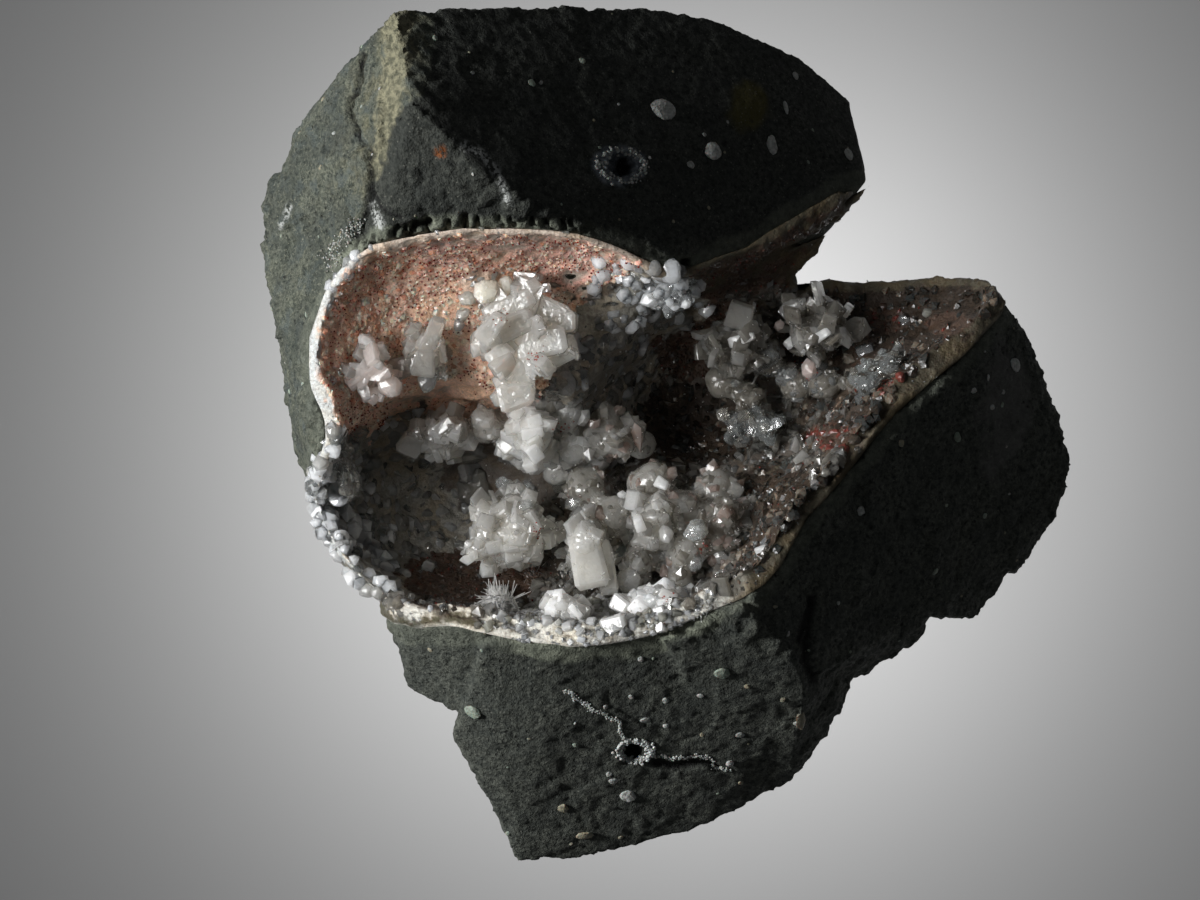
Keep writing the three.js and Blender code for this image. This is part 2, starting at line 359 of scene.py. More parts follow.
def basalt_finish():
    f = Finish("basalt", Roughness=0.85, Specular_IOR_Level=0.35)
    fine = f.cloud(0.8, 5.0, 0.75)
    lumps = f.cloud(5.0, 3.0)
    body = f.mixed(f.stretch(fine, 0.36, 0.66), (0.018, 0.022, 0.019), (0.145, 0.155, 0.128))
    body = f.mixed(f.stretch(lumps, 0.4, 0.65, 0.0, 0.5), body, (0.050, 0.058, 0.052))
    pale = f.mixed(f.stretch(fine, 0.36, 0.64), (0.035, 0.045, 0.037), (0.20, 0.215, 0.165))
    yellow = f.mixed(f.stretch(fine, 0.34, 0.68), (0.06, 0.063, 0.04), (0.26, 0.25, 0.155))
    pale = f.mixed(f.times(f.number("sallow"), f.stretch(f.cloud(3.5, 4.0), 0.42, 0.58)), pale, yellow)
    pale = f.mixed(f.stretch(f.cloud(3.0, 2.0), 0.5, 0.65, 0.0, 0.6), pale, (0.10, 0.125, 0.125))
    pale = f.mixed(f.stretch(f.cloud(9.0, 2.0), 0.45, 0.6, 0.0, 0.55), pale, (0.045, 0.055, 0.048))
    flecks = f.cloud(0.45, 2.0, 0.7)
    pale = f.mixed(f.stretch(flecks, 0.6, 0.7, 0.0, 0.7), pale, (0.30, 0.30, 0.22))
    pale = f.mixed(f.stretch(flecks, 0.42, 0.32, 0.0, 0.7), pale, (0.03, 0.036, 0.03))
    body = f.mixed(f.times(f.number("fresh"), 0.5), body, (0.012, 0.014, 0.012))
    body = f.mixed(f.number("weathered"), body, pale)
    cream = f.mixed(f.stretch(f.cloud(0.9, 4.0), 0.38, 0.6), (0.12, 0.12, 0.08), (0.31, 0.295, 0.195))
    body = f.mixed(f.number("cream"), body, cream)
    band = f.mixed(f.stretch(f.cloud(1.5), 0.35, 0.65), (0.13, 0.145, 0.11), (0.28, 0.30, 0.23))
    body = f.mixed(f.number("altered"), body, band)
    body = f.mixed(f.number("powder"), body, (0.16, 0.16, 0.15))
    body = f.mixed(f.number("olive"), body, (0.09, 0.08, 0.02))
    body = f.mixed(f.times(f.number("white"), f.stretch(f.cloud(0.7), 0.44, 0.54)), body, (0.55, 0.57, 0.55))
    stain = f.times(f.number("orange"), f.stretch(f.cloud(0.6), 0.4, 0.55))
    body = f.mixed(stain, body, (0.25, 0.075, 0.015))
    halo = f.mixed(f.stretch(f.cells(1.1), 0.2, 0.6), (0.30, 0.33, 0.36), (0.14, 0.16, 0.18))
    body = f.mixed(f.number("ring"), body, halo)
    # painted shade: near-black in the cracks, the open bubbles and the slots between the columns, where they
    # are hollow
    body = f.mixed(f.number("gap"), body, (0.004, 0.004, 0.004))
    specks = f.stretch(f.cells(0.9), 0.16, 0.10)
    body = f.mixed(f.times(specks, 0.4), body, (0.30, 0.30, 0.25))
    # painted shade: small pits, patchy over the rock, darkened nearly black in their hollows
    shaded_pits = f.stretch(f.cells(1.3), 0.24, 0.14)
    shaded_pits = f.times(shaded_pits, f.stretch(f.cloud(6.0), 0.5, 0.62))
    body = f.mixed(f.times(shaded_pits, 0.7), body, (0.010, 0.011, 0.010))
    f.colour(body)
    f.roughen(f.stretch(fine, 0.3, 0.7, 0.95, 0.6))
    f.bumps((f.cloud(1.8, 4.0, 0.65), 0.7), (fine, 0.5), (flecks, 0.2), (shaded_pits, -0.3))
    return f.material


def crust_finish():
    f = Finish("pale_crust", Roughness=0.45, Subsurface_Weight=0.3, Subsurface_Scale=0.001,
               Specular_IOR_Level=0.2)
    f.shader.inputs["Subsurface Radius"].default_value = (1.0, 0.8, 0.7)
    grain = f.cloud(0.5, 4.0, 0.7)
    patches = f.stretch(f.cloud(4.0, 2.0), 0.45, 0.62, 0.0, 0.7)
    body = f.mixed(patches, f.tint(), (0.62, 0.52, 0.40), "SOFT_LIGHT")
    body = f.mixed(f.stretch(grain, 0.35, 0.65, 0.0, 0.5), body, (0.08, 0.05, 0.035))
    f.colour(body)
    f.roughen(f.stretch(grain, 0.3, 0.7, 0.6, 0.25))
    f.bumps((f.cloud(0.9), 0.4), (grain, 0.25))
    return f.material


def milky_finish():
    f = Finish("milky_crystal", Roughness=0.13, Subsurface_Weight=1.0, Subsurface_Scale=0.006,
               Coat_Weight=0.4, Coat_Roughness=0.04)
    f.shader.inputs["Subsurface Radius"].default_value = (1.0, 0.95, 0.9)
    f.shader.inputs["IOR"].default_value = 1.52
    f.link(f.tint("Alpha"), f.shader.inputs["Transmission Weight"])
    f.colour(f.mixed(f.stretch(f.cloud(0.9), 0.35, 0.7, 0.0, 0.3), f.tint(), (0.60, 0.57, 0.51)))
    f.bumps((f.cloud(1.3, 2.0), 0.25), (f.facets(1.3), -0.06), (f.facets(0.42), -0.02))
    return f.material


def clear_finish():
    f = Finish("clear_crystal", Roughness=0.05, Transmission_Weight=0.88)
    f.shader.inputs["IOR"].default_value = 1.52
    f.colour(f.mixed(f.stretch(f.cloud(1.0), 0.4, 0.7, 0.0, 0.3), f.tint(), (0.7, 0.72, 0.70)))
    f.bumps((f.facets(1.0), -0.08))
    return f.material


def grainy_finish():
    f = Finish("rosy_crystal", Roughness=0.2, Subsurface_Weight=1.0, Subsurface_Scale=0.0008)
    f.shader.inputs["Subsurface Radius"].default_value = (1.0, 0.6, 0.5)
    f.shader.inputs["Transmission Weight"].default_value = 0.1
    patches = f.stretch(f.cloud(5.0, 2.0), 0.42, 0.6, 0.0, 0.45)
    body = f.mixed(patches, f.tint(), (0.66, 0.58, 0.52), "OVERLAY")
    f.colour(f.mixed(f.stretch(f.cloud(0.4), 0.45, 0.7, 0.0, 0.4), body, (0.55, 0.26, 0.18), "MULTIPLY"))
    f.bumps((f.facets(0.4), -0.06))
    return f.material


def amygdule_finish():
    f = Finish("amygdule", Roughness=0.6, Subsurface_Weight=0.15, Subsurface_Scale=0.0008)
    body = f.mixed(f.stretch(f.cloud(0.5), 0.35, 0.65, 0.0, 0.7), f.tint(), (0.16, 0.17, 0.15))
    f.colour(body)
    f.bumps((f.cloud(0.4), 0.2))
    return f.material


def floor_finish():
    f = Finish("studio_floor", Roughness=0.9)
    f.colour(f.mixed(f.stretch(f.cloud(60.0), 0.3, 0.7, 0.0, 0.04), (0.50, 0.50, 0.50), (0.42, 0.42, 0.42)))
    return f.material


# ---------------------------------------------------------------- crystal forms


def basic(kind, **settings):
    """A new basic shape, selected alone."""
    bpy.ops.object.select_all(action="DESELECT")
    getattr(bpy.ops.mesh, f"primitive_{kind}_add")(**settings)
    return bpy.context.object


def form_of(piece):
    """The points and triangles of a small piece, which is then put away."""
    edit_all(piece)
    bpy.ops.mesh.normals_make_consistent(inside=False)
    bpy.ops.mesh.quads_convert_to_tris()
    bpy.ops.object.mode_set(mode="OBJECT")
    points = places(piece.data) * MM
    faces = np.array([tuple(face.vertices) for face in piece.data.polygons])
    bpy.data.objects.remove(piece)
    return points, faces


def pick_faces(piece, rule):
    """Selects the faces whose middle and normal the rule takes, and goes to edit mode."""
    only(piece)
    bpy.ops.object.mode_set(mode="EDIT")
    bpy.ops.mesh.select_mode(type="FACE")
    bpy.ops.mesh.select_all(action="DESELECT")
    bpy.ops.object.mode_set(mode="OBJECT")
    for face in piece.data.polygons:
        face.select = rule(face.center, face.normal)
    bpy.ops.object.mode_set(mode="EDIT")


def jolt(piece, amount, seed):
    """Moves each corner a little, so that no two crystals look cast."""
    draw = random.Random(seed)
    for corner in piece.data.vertices:
        corner.co += Vector(draw.uniform(-amount, amount) for _ in range(3))


def block_form(width, thick, taper, seed):
    """A crystal one unit long standing on its root: a tabular block with bevelled edges."""
    piece = basic("cube", size=1, location=(0, 0, 0.4))
    pick_faces(piece, lambda centre, normal: False)
    bpy.ops.mesh.select_all(action="SELECT")
    bpy.ops.transform.resize(value=(width, thick, 1))
    bpy.ops.object.mode_set(mode="OBJECT")
    pick_faces(piece, lambda centre, normal: normal.z > 0.9)
    bpy.ops.transform.resize(value=(taper, 1, 1))
    bpy.ops.object.mode_set(mode="OBJECT")
    jolt(piece, 0.05, seed)
    edit_all(piece)
    bpy.ops.mesh.bevel(offset=0.12 * min(width, thick), segments=1, affect="EDGES")
    bpy.ops.object.mode_set(mode="OBJECT")
    bpy.ops.object.transform_apply(location=True)
    return form_of(piece)


def shard_form(flat, seed):
    """A thick flake with a crooked outline, standing on its edge."""
    draw = random.Random(seed)
    piece = basic("cylinder", vertices=7, radius=0.48, depth=flat, location=(0, 0, 0))
    pick_faces(piece, lambda centre, normal: normal.z > 0.9)
    bpy.ops.transform.resize(value=(0.8, 0.8, 1))
    bpy.ops.object.mode_set(mode="OBJECT")
    for corner in piece.data.vertices:
        corner.co.x *= draw.uniform(0.75, 1.15)
        corner.co.y *= draw.uniform(0.75, 1.15)
    jolt(piece, 0.05, seed)
    points, faces = form_of(piece)
    return points[:, [0, 2, 1]] * (1, -1, 1) + (0, 0, 0.4), faces


def bead_form(rings, cuts, seed):
    """A rounded crystal with a few flat faces on it."""
    draw = random.Random(seed)
    piece = basic("ico_sphere", subdivisions=rings, radius=0.5, location=(0, 0, 0))
    flats = [Vector(draw.gauss(0, 1) for _ in range(3)).normalized() for _ in range(cuts)]
    for corner in piece.data.vertices:
        for flat in flats:
            corner.co -= max(0.0, corner.co.dot(flat) - 0.37) * flat
    jolt(piece, 0.012, seed)
    points, faces = form_of(piece)
    return points + (0, 0, 0.25), faces


def needle_form(seed):
    """A thin needle one unit long."""
    piece = basic("cone", vertices=5, radius1=0.055, radius2=0.02, depth=1, location=(0, 0, 0.5))
    jolt(piece, 0.004, seed)
    bpy.ops.object.transform_apply(location=True)
    return form_of(piece)


def chunk_form(seed):
    """An irregular chunk: the hull of a few points inside a ball."""
    draw = random.Random(seed)
    piece = basic("ico_sphere", subdivisions=1, radius=0.5, location=(0, 0, 0.2))
    for corner in piece.data.vertices:
        corner.co *= draw.uniform(0.72, 1.12)
    edit_all(piece)
    bpy.ops.mesh.convex_hull()
    bpy.ops.object.mode_set(mode="OBJECT")
    bpy.ops.object.transform_apply(location=True)
    return form_of(piece)


PLATES = [block_form(0.95, 0.3, 0.85, seed) for seed in (1, 2, 3)]
BLOCKS = [block_form(0.85, 0.55, 0.85, seed) for seed in (4, 5, 6)]
SHARDS = [shard_form(flat, seed) for flat, seed in ((0.34, 21), (0.45, 22), (0.55, 23), (0.4, 24))]
SLABS = [block_form(1.0, 1.0, 0.8, seed) for seed in (31, 32, 33)]
BEADS = [bead_form(2, 8, seed) for seed in (9, 10, 11, 17)]
BOULDERS = [bead_form(4, 22, seed) for seed in (18, 19, 20)]
CHUNKS = [chunk_form(seed) for seed in (12, 13, 14, 15)]
NEEDLES = [needle_form(seed) for seed in (16, 17)]


def stand(place, out, size, lean, draw, squash=(1, 1, 1)):
    """Where one crystal stands: its place and a matrix that turns its length along out, leaning a little."""
    tilt = Vector((draw.gauss(0, lean), draw.gauss(0, lean), draw.gauss(0, lean)))
    along = (Vector(out) + tilt).normalized()
    spin = Matrix.Rotation(draw.uniform(0, math.tau), 3, "Z")
    turn = Vector((0, 0, 1)).rotation_difference(along).to_matrix() @ spin
    shape = Matrix.Diagonal([size * each for each in squash])
    return np.array(place, float), np.array(turn @ shape, float)


def heading(bearing, tip):
    """A direction from a bearing of the plan and an angle above it, both in degrees."""
    a, e = math.radians(bearing), math.radians(tip)
    return Vector((math.cos(a) * math.cos(e), math.sin(a) * math.cos(e), math.sin(e)))


def laid(place, sizes, bearing, tip):
    """Where one crystal lies: its long side on a bearing of the plan, tipped up, its broad side up."""
    along = heading(bearing, tip)
    across = Vector((-math.sin(math.radians(bearing)), math.cos(math.radians(bearing)), 0))
    long, wide, thick = sizes
    shape = Matrix((across * wide, along.cross(across) * thick, along * long)).transposed()
    return np.array(place - 0.4 * long * along, float), np.array(shape, float)


def grow(name, crystals, root=None):
    """One piece out of many crystals, each (form, stand, tint); a root mesh may be joined under them."""
    points, faces, tints, count = [], [], [], 0
    if root is not None:
        corners, sides, tint = root
        points.append(corners)
        faces.append(sides)
        tints.append(np.tile(tint, (len(corners), 1)))
        count = len(corners)
    for form, (place, matrix), tint in crystals:
        corners, sides = form
        points.append(corners @ matrix.T + place)
        faces.append(sides + count)
        tints.append(np.tile(tint, (len(corners), 1)))
        count += len(corners)
    points, faces = np.concatenate(points), np.concatenate(faces)
    mesh = bpy.data.meshes.new(name)
    mesh.vertices.add(count)
    mesh.loops.add(faces.size)
    mesh.polygons.add(len(faces))
    mesh.loops.foreach_set("vertex_index", faces.astype(np.int32).ravel())
    mesh.polygons.foreach_set("loop_start", np.arange(0, faces.size, 3, dtype=np.int32))
    mesh.polygons.foreach_set("use_smooth", np.zeros(len(faces), bool))
    put(mesh, points)
    colour_points(mesh, np.concatenate(tints))
    mesh.update(calc_edges=True)
    mesh.validate()
    piece = bpy.data.objects.new(name, mesh)
    bpy.context.scene.collection.objects.link(piece)
    return piece


def tinted(colour, draw, spread=0.12):
    """A colour a little lighter or darker, as crystals differ."""
    light = 1 + draw.uniform(-spread, spread)
    return tuple(min(0.98, channel * light) for channel in colour[:3]) + colour[3:]


# ---------------------------------------------------------------- the basalt lump

# line on the plan, half width, depth
CRACKS = [
    ([(-45.3, 55.5), (-45.6, 51), (-46.3, 49.5), (-47, 47.7), (-45.7, 44.3), (-43.9, 40.5), (-43.6, 36.2),
      (-44.2, 33.4), (-45.8, 29.2)], 0.34, 1.6),
    ([(-39, 31.5), (-41.5, 32.5), (-43.6, 35)], 0.3, 0.6),
    ([(-2.6, -48.3), (-0.3, -49), (2.9, -48.4), (5.3, -48.6), (6.6, -49.6)], 0.55, 1.0),
    ([(18.6, -29.8), (20.1, -24), (19.4, -32.8), (21, -35.9)], 0.7, 0.7),
]
# open bubbles: plan place, radius, depth
VUGS = [((-7.4, 39.5), 1.7, 2.8), ((-6.0, -47.0), 1.5, 2.6), ((1.7, 25.4), 0.7, 1.5)]
CREAM_LINE = [(-39.9, 61.5), (-40.3, 54), (-40.6, 48.3), (-41.6, 44), (-43.2, 37.7)]
# the weathered rock ends at this line: how far up the plan, and how far across
WEATHERED_EDGE = [(24, -46.6), (31, -45.4), (37.4, -43.4), (44, -41), (46.6, -40.2), (48.6, -36), (52, -35)]
WHITE_LINES = [
    [(-30.2, 41.6), (-27.8, 40.2), (-25.8, 38.1), (-24.6, 35.9), (-23.9, 33.4)],
    [(-56.6, 33.8), (-57.3, 32.0), (-57.9, 31.2)], [(-43.6, 33.2), (-42.4, 30.4)],
]
COLUMNAR_RIM = ((-31, 30), (19, 6))  # middle and reach of the rim where the crust stands off in columns
COLUMN_REACH = (3.2, 2.0)  # the slots between the columns fade out over this distance from the crust
SLOT_DEPTH = 1.7


def chipped(point, width, depth):
    """Small flat breaks: each cell of rock has a height and a tilt of its own."""
    here = point / width
    middle = noise.voronoi(here)[1][0]
    tilt = noise.noise_vector(middle * 7.3)
    return depth * (2 * tilt.dot(here - middle) + noise.noise(middle * 11.1))


def rock_relief(point):
    broad = 0.6 * noise.noise(point / 17)
    breaks = chipped(point, 7, 0.5) + chipped(point + Vector((40, 7, 3)), 2.4, 0.26)
    return broad + breaks


def rock_grain(point):
    return 0.3 * noise.fractal(point / 1.3, 0.8, 2.1, 3)


def wander_at(points):
    """How far a line on the rock strays at each point."""
    return 0.5 * sampled(lambda point: noise.noise(point / 2.1), points)


def openings(points, away, upper):
    """How deep the cracks, the open bubbles and the slots are at each point, and how dark they are painted,
    as painted shade in these hollows.
    """
    x, y, _ = points.T
    depths, gap = np.zeros(len(points)), np.zeros(len(points))
    wander = wander_at(points)
    for line, half, depth in CRACKS:
        reach = from_line(points + wander[:, None], line) / half
        depths += depth * np.exp(-reach ** 2)
        gap = np.maximum(gap, np.exp(-1.2 * reach ** 2))
    for (x0, y0), radius, depth in VUGS:
        reach = np.hypot(x - x0, y - y0) / radius + wander
        depths += depth * (1 - ease(0.6, 1.25, reach))
        gap = np.maximum(gap, 1 - ease(0.6, 1.0, reach))
    (x0, y0), (wide, deep) = COLUMNAR_RIM
    rim = ease(1.1, 0.8, np.hypot((x - x0) / wide, (y - y0) / deep)) * ease(*COLUMN_REACH, away)
    posts = sampled(lambda point: noise.noise(Vector((point.x / 0.8, point.y / 2.4, 3.3))), points)
    slots = rim * ease(0.08, 0.3, posts)
    return (depths + SLOT_DEPTH * slots) * upper, np.maximum(gap, 0.9 * slots) * upper


def upper_side(points, out):
    """Near 1 where the rock looks up and is high enough to be seen from above."""
    return ease(0.0, 0.3, out[:, 2]) * ease(20, 26, points[:, 2])


def distances(points, tree):
    """How far each point is from the nearest face of a tree."""
    return np.array([tree.find_nearest(Vector(point))[3] for point in points])


def thin_out(piece, most, loose):
    """Takes triangles away, first where loose is near 1, until no more than most are left."""
    group = piece.vertex_groups.new(name="loose")
    for step in range(5):
        chosen = np.flatnonzero(np.round(loose * 4) == step).tolist()
        group.add(chosen, step / 4, "REPLACE")
    now = sum(len(face.vertices) - 2 for face in piece.data.polygons)
    finish_with(piece, "DECIMATE", ratio=most / now, vertex_group="loose", vertex_group_factor=6.0)
    piece.vertex_groups.clear()


def basalt_lump(crust):
    """The rock with its breaks and marks, and how far each of its points is from the crust."""
    piece = copy_of("basalt_matrix", "basalt_lump")
    finish_with(piece, "REMESH", mode="VOXEL", voxel_size=ROCK_GRID * MM, use_smooth_shade=True)
    mesh = piece.data
    points, out = places(mesh), outward(mesh)
    away = distances(points, crust)
    low_face = ease(-27, -31, points[:, 1]) * ease(0.3, 0.7, out[:, 2])
    relief = sampled(rock_relief, points) * (1 - 0.5 * low_face)
    relief += sampled(rock_grain, points) * (1 - 0.6 * low_face)
    relief *= ease(*CALM_RIM, away)
    dark_face = ease(-38, -32, points[:, 0]) * ease(26, 32, points[:, 1]) * ease(0.2, 0.5, out[:, 0])
    relief *= 1 - 0.8 * dark_face
    relief -= openings(points, away, upper_side(points, out))[0]
    points += out * relief[:, None]
    points[:, 2] = np.maximum(points[:, 2], 0)
    put(mesh, points)
    hidden = np.maximum(ease(1.0, 0.4, away), ease(0.0, -0.3, out[:, 2]))
    thin_out(piece, ROCK_FACES, hidden)
    points, out = places(mesh), outward(mesh)
    away = distances(points, crust)
    weather(mesh, points, out, away)
    keep(piece, basalt_finish(), "basalt", "basalt_matrix")
    return piece, away


def weather(mesh, points, out, away):
    """Marks where the rock is weathered, stained or altered, and where shade is painted into its cracks,
    open bubbles and slots.
    """
    x, y, _ = points.T
    upper = upper_side(points, out)
    mottle = sampled(lambda point: noise.fractal(point / 5, 0.8, 2, 3), points)
    ragged = sampled(lambda point: noise.fractal(point / 1.3, 0.8, 2, 2), points)
    edge = np.interp(y, *zip(*WEATHERED_EDGE)) + 0.3 * mottle + 0.3 * ragged
    patchy = np.clip(0.8 + 0.6 * mottle, 0.2, 1)
    mark(mesh, "weathered", ease(edge + 0.3, edge - 0.3, x) * ease(-26, -12, y) * patchy)
    wide = np.interp(y, (36, 44, 48, 60), (0.5, 1.0, 2.2, 2.2))
    strip = from_line(points, CREAM_LINE)
    mark(mesh, "cream", ease(0.4, -0.4, strip - wide + 0.8 * mottle + 0.9 * ragged) * upper)
    mark(mesh, "sallow", ease(9, 2, strip + 3 * mottle) * 0.8 + 0.15)
    low_band = ease(-24, -27, y) * ease(-26, -22, x) * ease(16, 10, x)
    top_band = ease(22, 26, y) * ease(-12, -20, x)
    band = np.maximum(0.9 * top_band, upper * np.maximum(low_band, 0.35))
    mark(mesh, "altered", ease(3.0, 2.2, away + 0.8 * mottle) * band)
    mark(mesh, "fresh", ease(edge - 0.3, edge + 0.3, x) * ease(24, 30, y) * upper)
    mark(mesh, "orange", ease(0.9, 0.4, np.hypot(x + 33.5, y - 40.6) + 0.6 * mottle))
    dusty = np.hypot((x - 50.5) / 4.5, (y - 4.5) / 10) + 0.5 * mottle
    mark(mesh, "powder", ease(1.2, 0.6, dusty) * upper * 0.7)
    mark(mesh, "olive", ease(1.3, 0.6, np.hypot(x - 11.5, y - 49) / 3.4 + 0.5 * mottle) * upper)
    streaks = np.min([from_line(points, line) for line in WHITE_LINES], axis=0)
    mark(mesh, "white", ease(0.9, 0.2, streaks + 0.5 * mottle) * upper)
    # painted shade in the cracks, the open bubbles and the slots
    mark(mesh, "gap", openings(points, away, upper)[1])
    ring = np.hypot((x + 8.0) / 3.7, (y - 39.3) / 2.9) + 0.35 * wander_at(points)
    mark(mesh, "ring", ease(1.15, 0.95, ring) * upper)


# ---------------------------------------------------------------- what grows where in the cavity


class Kind:
    """One kind of druse: how large its crystals are, how they look and what lies under them."""

    def __init__(self, forms, size, tints, clear=0.0, specks=0.0, sink=0.4, ground=SHADE,
                 grainy=False, painted_glint_share=0.0):
        self.forms, self.size, self.tints, self.clear = forms, size, tints, clear
        self.specks, self.sink, self.ground, self.grainy = specks, sink, ground, grainy
        self.painted_glint_share = painted_glint_share


KINDS = {
    "grey": Kind(CHUNKS + BEADS + SHARDS + PLATES, 2.2, (GREY, DIM, MURK, DIM), 0.2, 0.08, 0.5, painted_glint_share=0.1),
    "peach": Kind(CHUNKS, 1.1, (PEACH, FLESH, BLUSH, TAWNY), 0.0, 0.6, 0.44, PEACH,
                  grainy=True, painted_glint_share=0.03),
    "red": Kind(CHUNKS, 1.1, (BLUSH, PEACH, BLUSH, TAWNY), 0.0, 1.0, 0.44, BLUSH,
                grainy=True, painted_glint_share=0.03),
    "pale": Kind(BEADS, 2.8, (STRAW, CHALKY), sink=0.6, ground=FLESH),
    "blue": Kind(BEADS, 3.2, (SMOKE, PEARL, ICE, SMOKE), 0.0, 0.0, 0.6, ASH, painted_glint_share=0.15),
    "dark": Kind(CHUNKS + BEADS, 2.8, (MILK, PEARL, GREY, SMOKE), 0.1, 0.0, 0.55, ASH, painted_glint_share=0.1),
    "smooth": Kind(CHUNKS + SLABS, 5.0, (GREY, DIM, GREY), sink=0.78),
    "brown": Kind(CHUNKS, 1.3, (BROWN, BROWN, SOOT, BROWN), 0.05, 0.1, 0.5, BROWN, grainy=True),
    "slope": Kind(CHUNKS + SHARDS, 1.8, (SLATE, NIGHT, SLATE, MURK, NIGHT), 0.05, 0.03, 0.58, NIGHT,
                  grainy=True, painted_glint_share=0.08),
    "blush": Kind(BEADS + CHUNKS, 1.6, (BROWN, GARNET, SOOT, BROWN), 0.1, 0.2, 0.5, BROWN, grainy=True),
    "white": Kind(SLABS + CHUNKS, 1.2, (WHITE, CHALKY, CREAM), specks=0.04, ground=ASH),
    "beads": Kind(BEADS + CHUNKS, 2.3, (ICE, SNOW, MILK, SMOKE), clear=0.2, sink=0.4, ground=ASH),
}
# kind, middle on the plan, half width, half depth; a later one lies over an earlier one
REGIONS = [
    ("slope", 38, 12, 20, 15), ("slope", 16, -14, 9, 11), ("dark", -42, -4, 13, 9),
    ("dark", -38, -14, 13, 10), ("smooth", -26, -4, 10, 8), ("brown", -30, -21, 11, 4),
    # painted shade: the dark slope druse at plan (2, 2) darkens the deep middle of the cavity, where shade
    # falls
    ("slope", 2, 2, 12, 7), ("brown", 10, 29, 17, 7), ("brown", 4, 16, 8, 7), ("brown", 24, 31, 12, 8),
    ("peach", -34, 17, 21, 13), ("peach", -47, 9, 8, 9), ("peach", -29, 6, 9, 6), ("red", -15, 27, 12, 5),
    ("red", -31, 27, 8, 4), ("pale", -28, 22, 3.5, 2.6), ("blue", -10, 11, 8, 9), ("blue", -2, 20, 7, 5),
    ("blush", 30, 9, 4, 3), ("blush", 42, 17, 3, 2), ("blush", 24, 0, 4, 2), ("blush", 33, 18, 3, 2),
    ("white", -7, -28, 21, 4), ("beads", -50, -7, 4, 8), ("beads", -46, -16, 4, 5),
]
# plan place, radius, height: swellings of the crust that carry crystals between the large groups
MOUNDS = [
    ((-8, -15), 4, 6), ((-2, -5), 5, 5), ((5, -8), 5, 5), ((9, -15), 5, 4), ((15, -9), 5, 5),
    ((-12, -2), 5, 4), ((13, -3), 4, 4), ((-20, 1), 6, 4), ((-9, 5), 5, 4), ((22, -4), 4, 4),
    ((28, 4), 4, 3), ((-38, -2), 5, 4),
]
# the line the cavity is gathered around, on the plan; its walls look towards it
CAVITY_LINE = [(-36, 17), (-26, 4), (-22, -8), (0, -6), (8, 9), (24, 9), (44, 16)]


def regions_at(points):
    """The number of the region at each point, or -1 where none is."""
    wobble = 0.22 * sampled(lambda point: noise.fractal(point / 3, 0.8, 2, 2), points)
    found = np.full(len(points), -1)
    for number, (_, x, y, wide, deep) in enumerate(REGIONS):
        found[np.hypot((points[:, 0] - x) / wide, (points[:, 1] - y) / deep) + wobble < 1] = number
    return found


def kind_at(place):
    number = regions_at(np.array([place]))[0]
    return KINDS["grey" if number < 0 else REGIONS[number][0]]


# ---------------------------------------------------------------- the crust in the cavity


def sides_of(points, out, rock):
    """How far each point of the crust is from the rock, and how squarely it looks away from it."""
    away, facing = np.empty(len(points)), np.empty(len(points))
    for index, point in enumerate(points):
        foot, _, _, distance = rock.find_nearest(Vector(point))
        away[index] = distance
        facing[index] = Vector(out[index]).dot((Vector(point) - foot).normalized())
    return away, facing


def from_outline(points):
    """How far inside the crust's outline each point is, on the plan."""
    cells = ((points[:, :2] + PLAN_REACH) / OUTLINE_GRID).astype(int)
    covered = np.zeros((int(2 * PLAN_REACH / OUTLINE_GRID),) * 2, bool)
    covered[cells[:, 0], cells[:, 1]] = True
    depth = np.zeros(covered.shape)
    while covered.any():
        depth += covered
        inner = covered.copy()
        for axis in (0, 1):
            for step in (-1, 1):
                inner &= np.roll(covered, step, axis)
        covered = inner
    return OUTLINE_GRID * depth[cells[:, 0], cells[:, 1]]


ROSY_RIM = (0.58, 0.49, 0.41, 0.0)
BLUE_RIM = (0.62, 0.65, 0.64, 0.0)
PALE_RIM = (0.70, 0.69, 0.63, 0.0)
DULL_RIM = (0.085, 0.080, 0.055, 0.0)
SKIN_RIM = (0.075, 0.080, 0.055, 0.0)


def crust_relief(point):
    knobs = noise.voronoi(point / 1.3)[0][0]
    return 0.3 * noise.noise(point / 4) + 0.3 * (0.5 - knobs) + 0.16 * noise.fractal(point / 0.7, 0.8, 2, 2)


def rim_colours(points, skin):
    """The colour of the crust's broken edge at each point."""
    x, y, _ = points.T
    colours = np.tile(ROSY_RIM, (len(points), 1))
    for share, colour in (
        (np.maximum(ease(-44, -48, x), ease(4, 0, y)), BLUE_RIM),
        (ease(-17, -22, y), PALE_RIM),
        (np.maximum(ease(-8, 0, x) * ease(15, 20, y), ease(4, 12, x)), DULL_RIM),
        (skin, SKIN_RIM),
    ):
        colours += share[:, None] * (np.array(colour) - colours)
    return colours


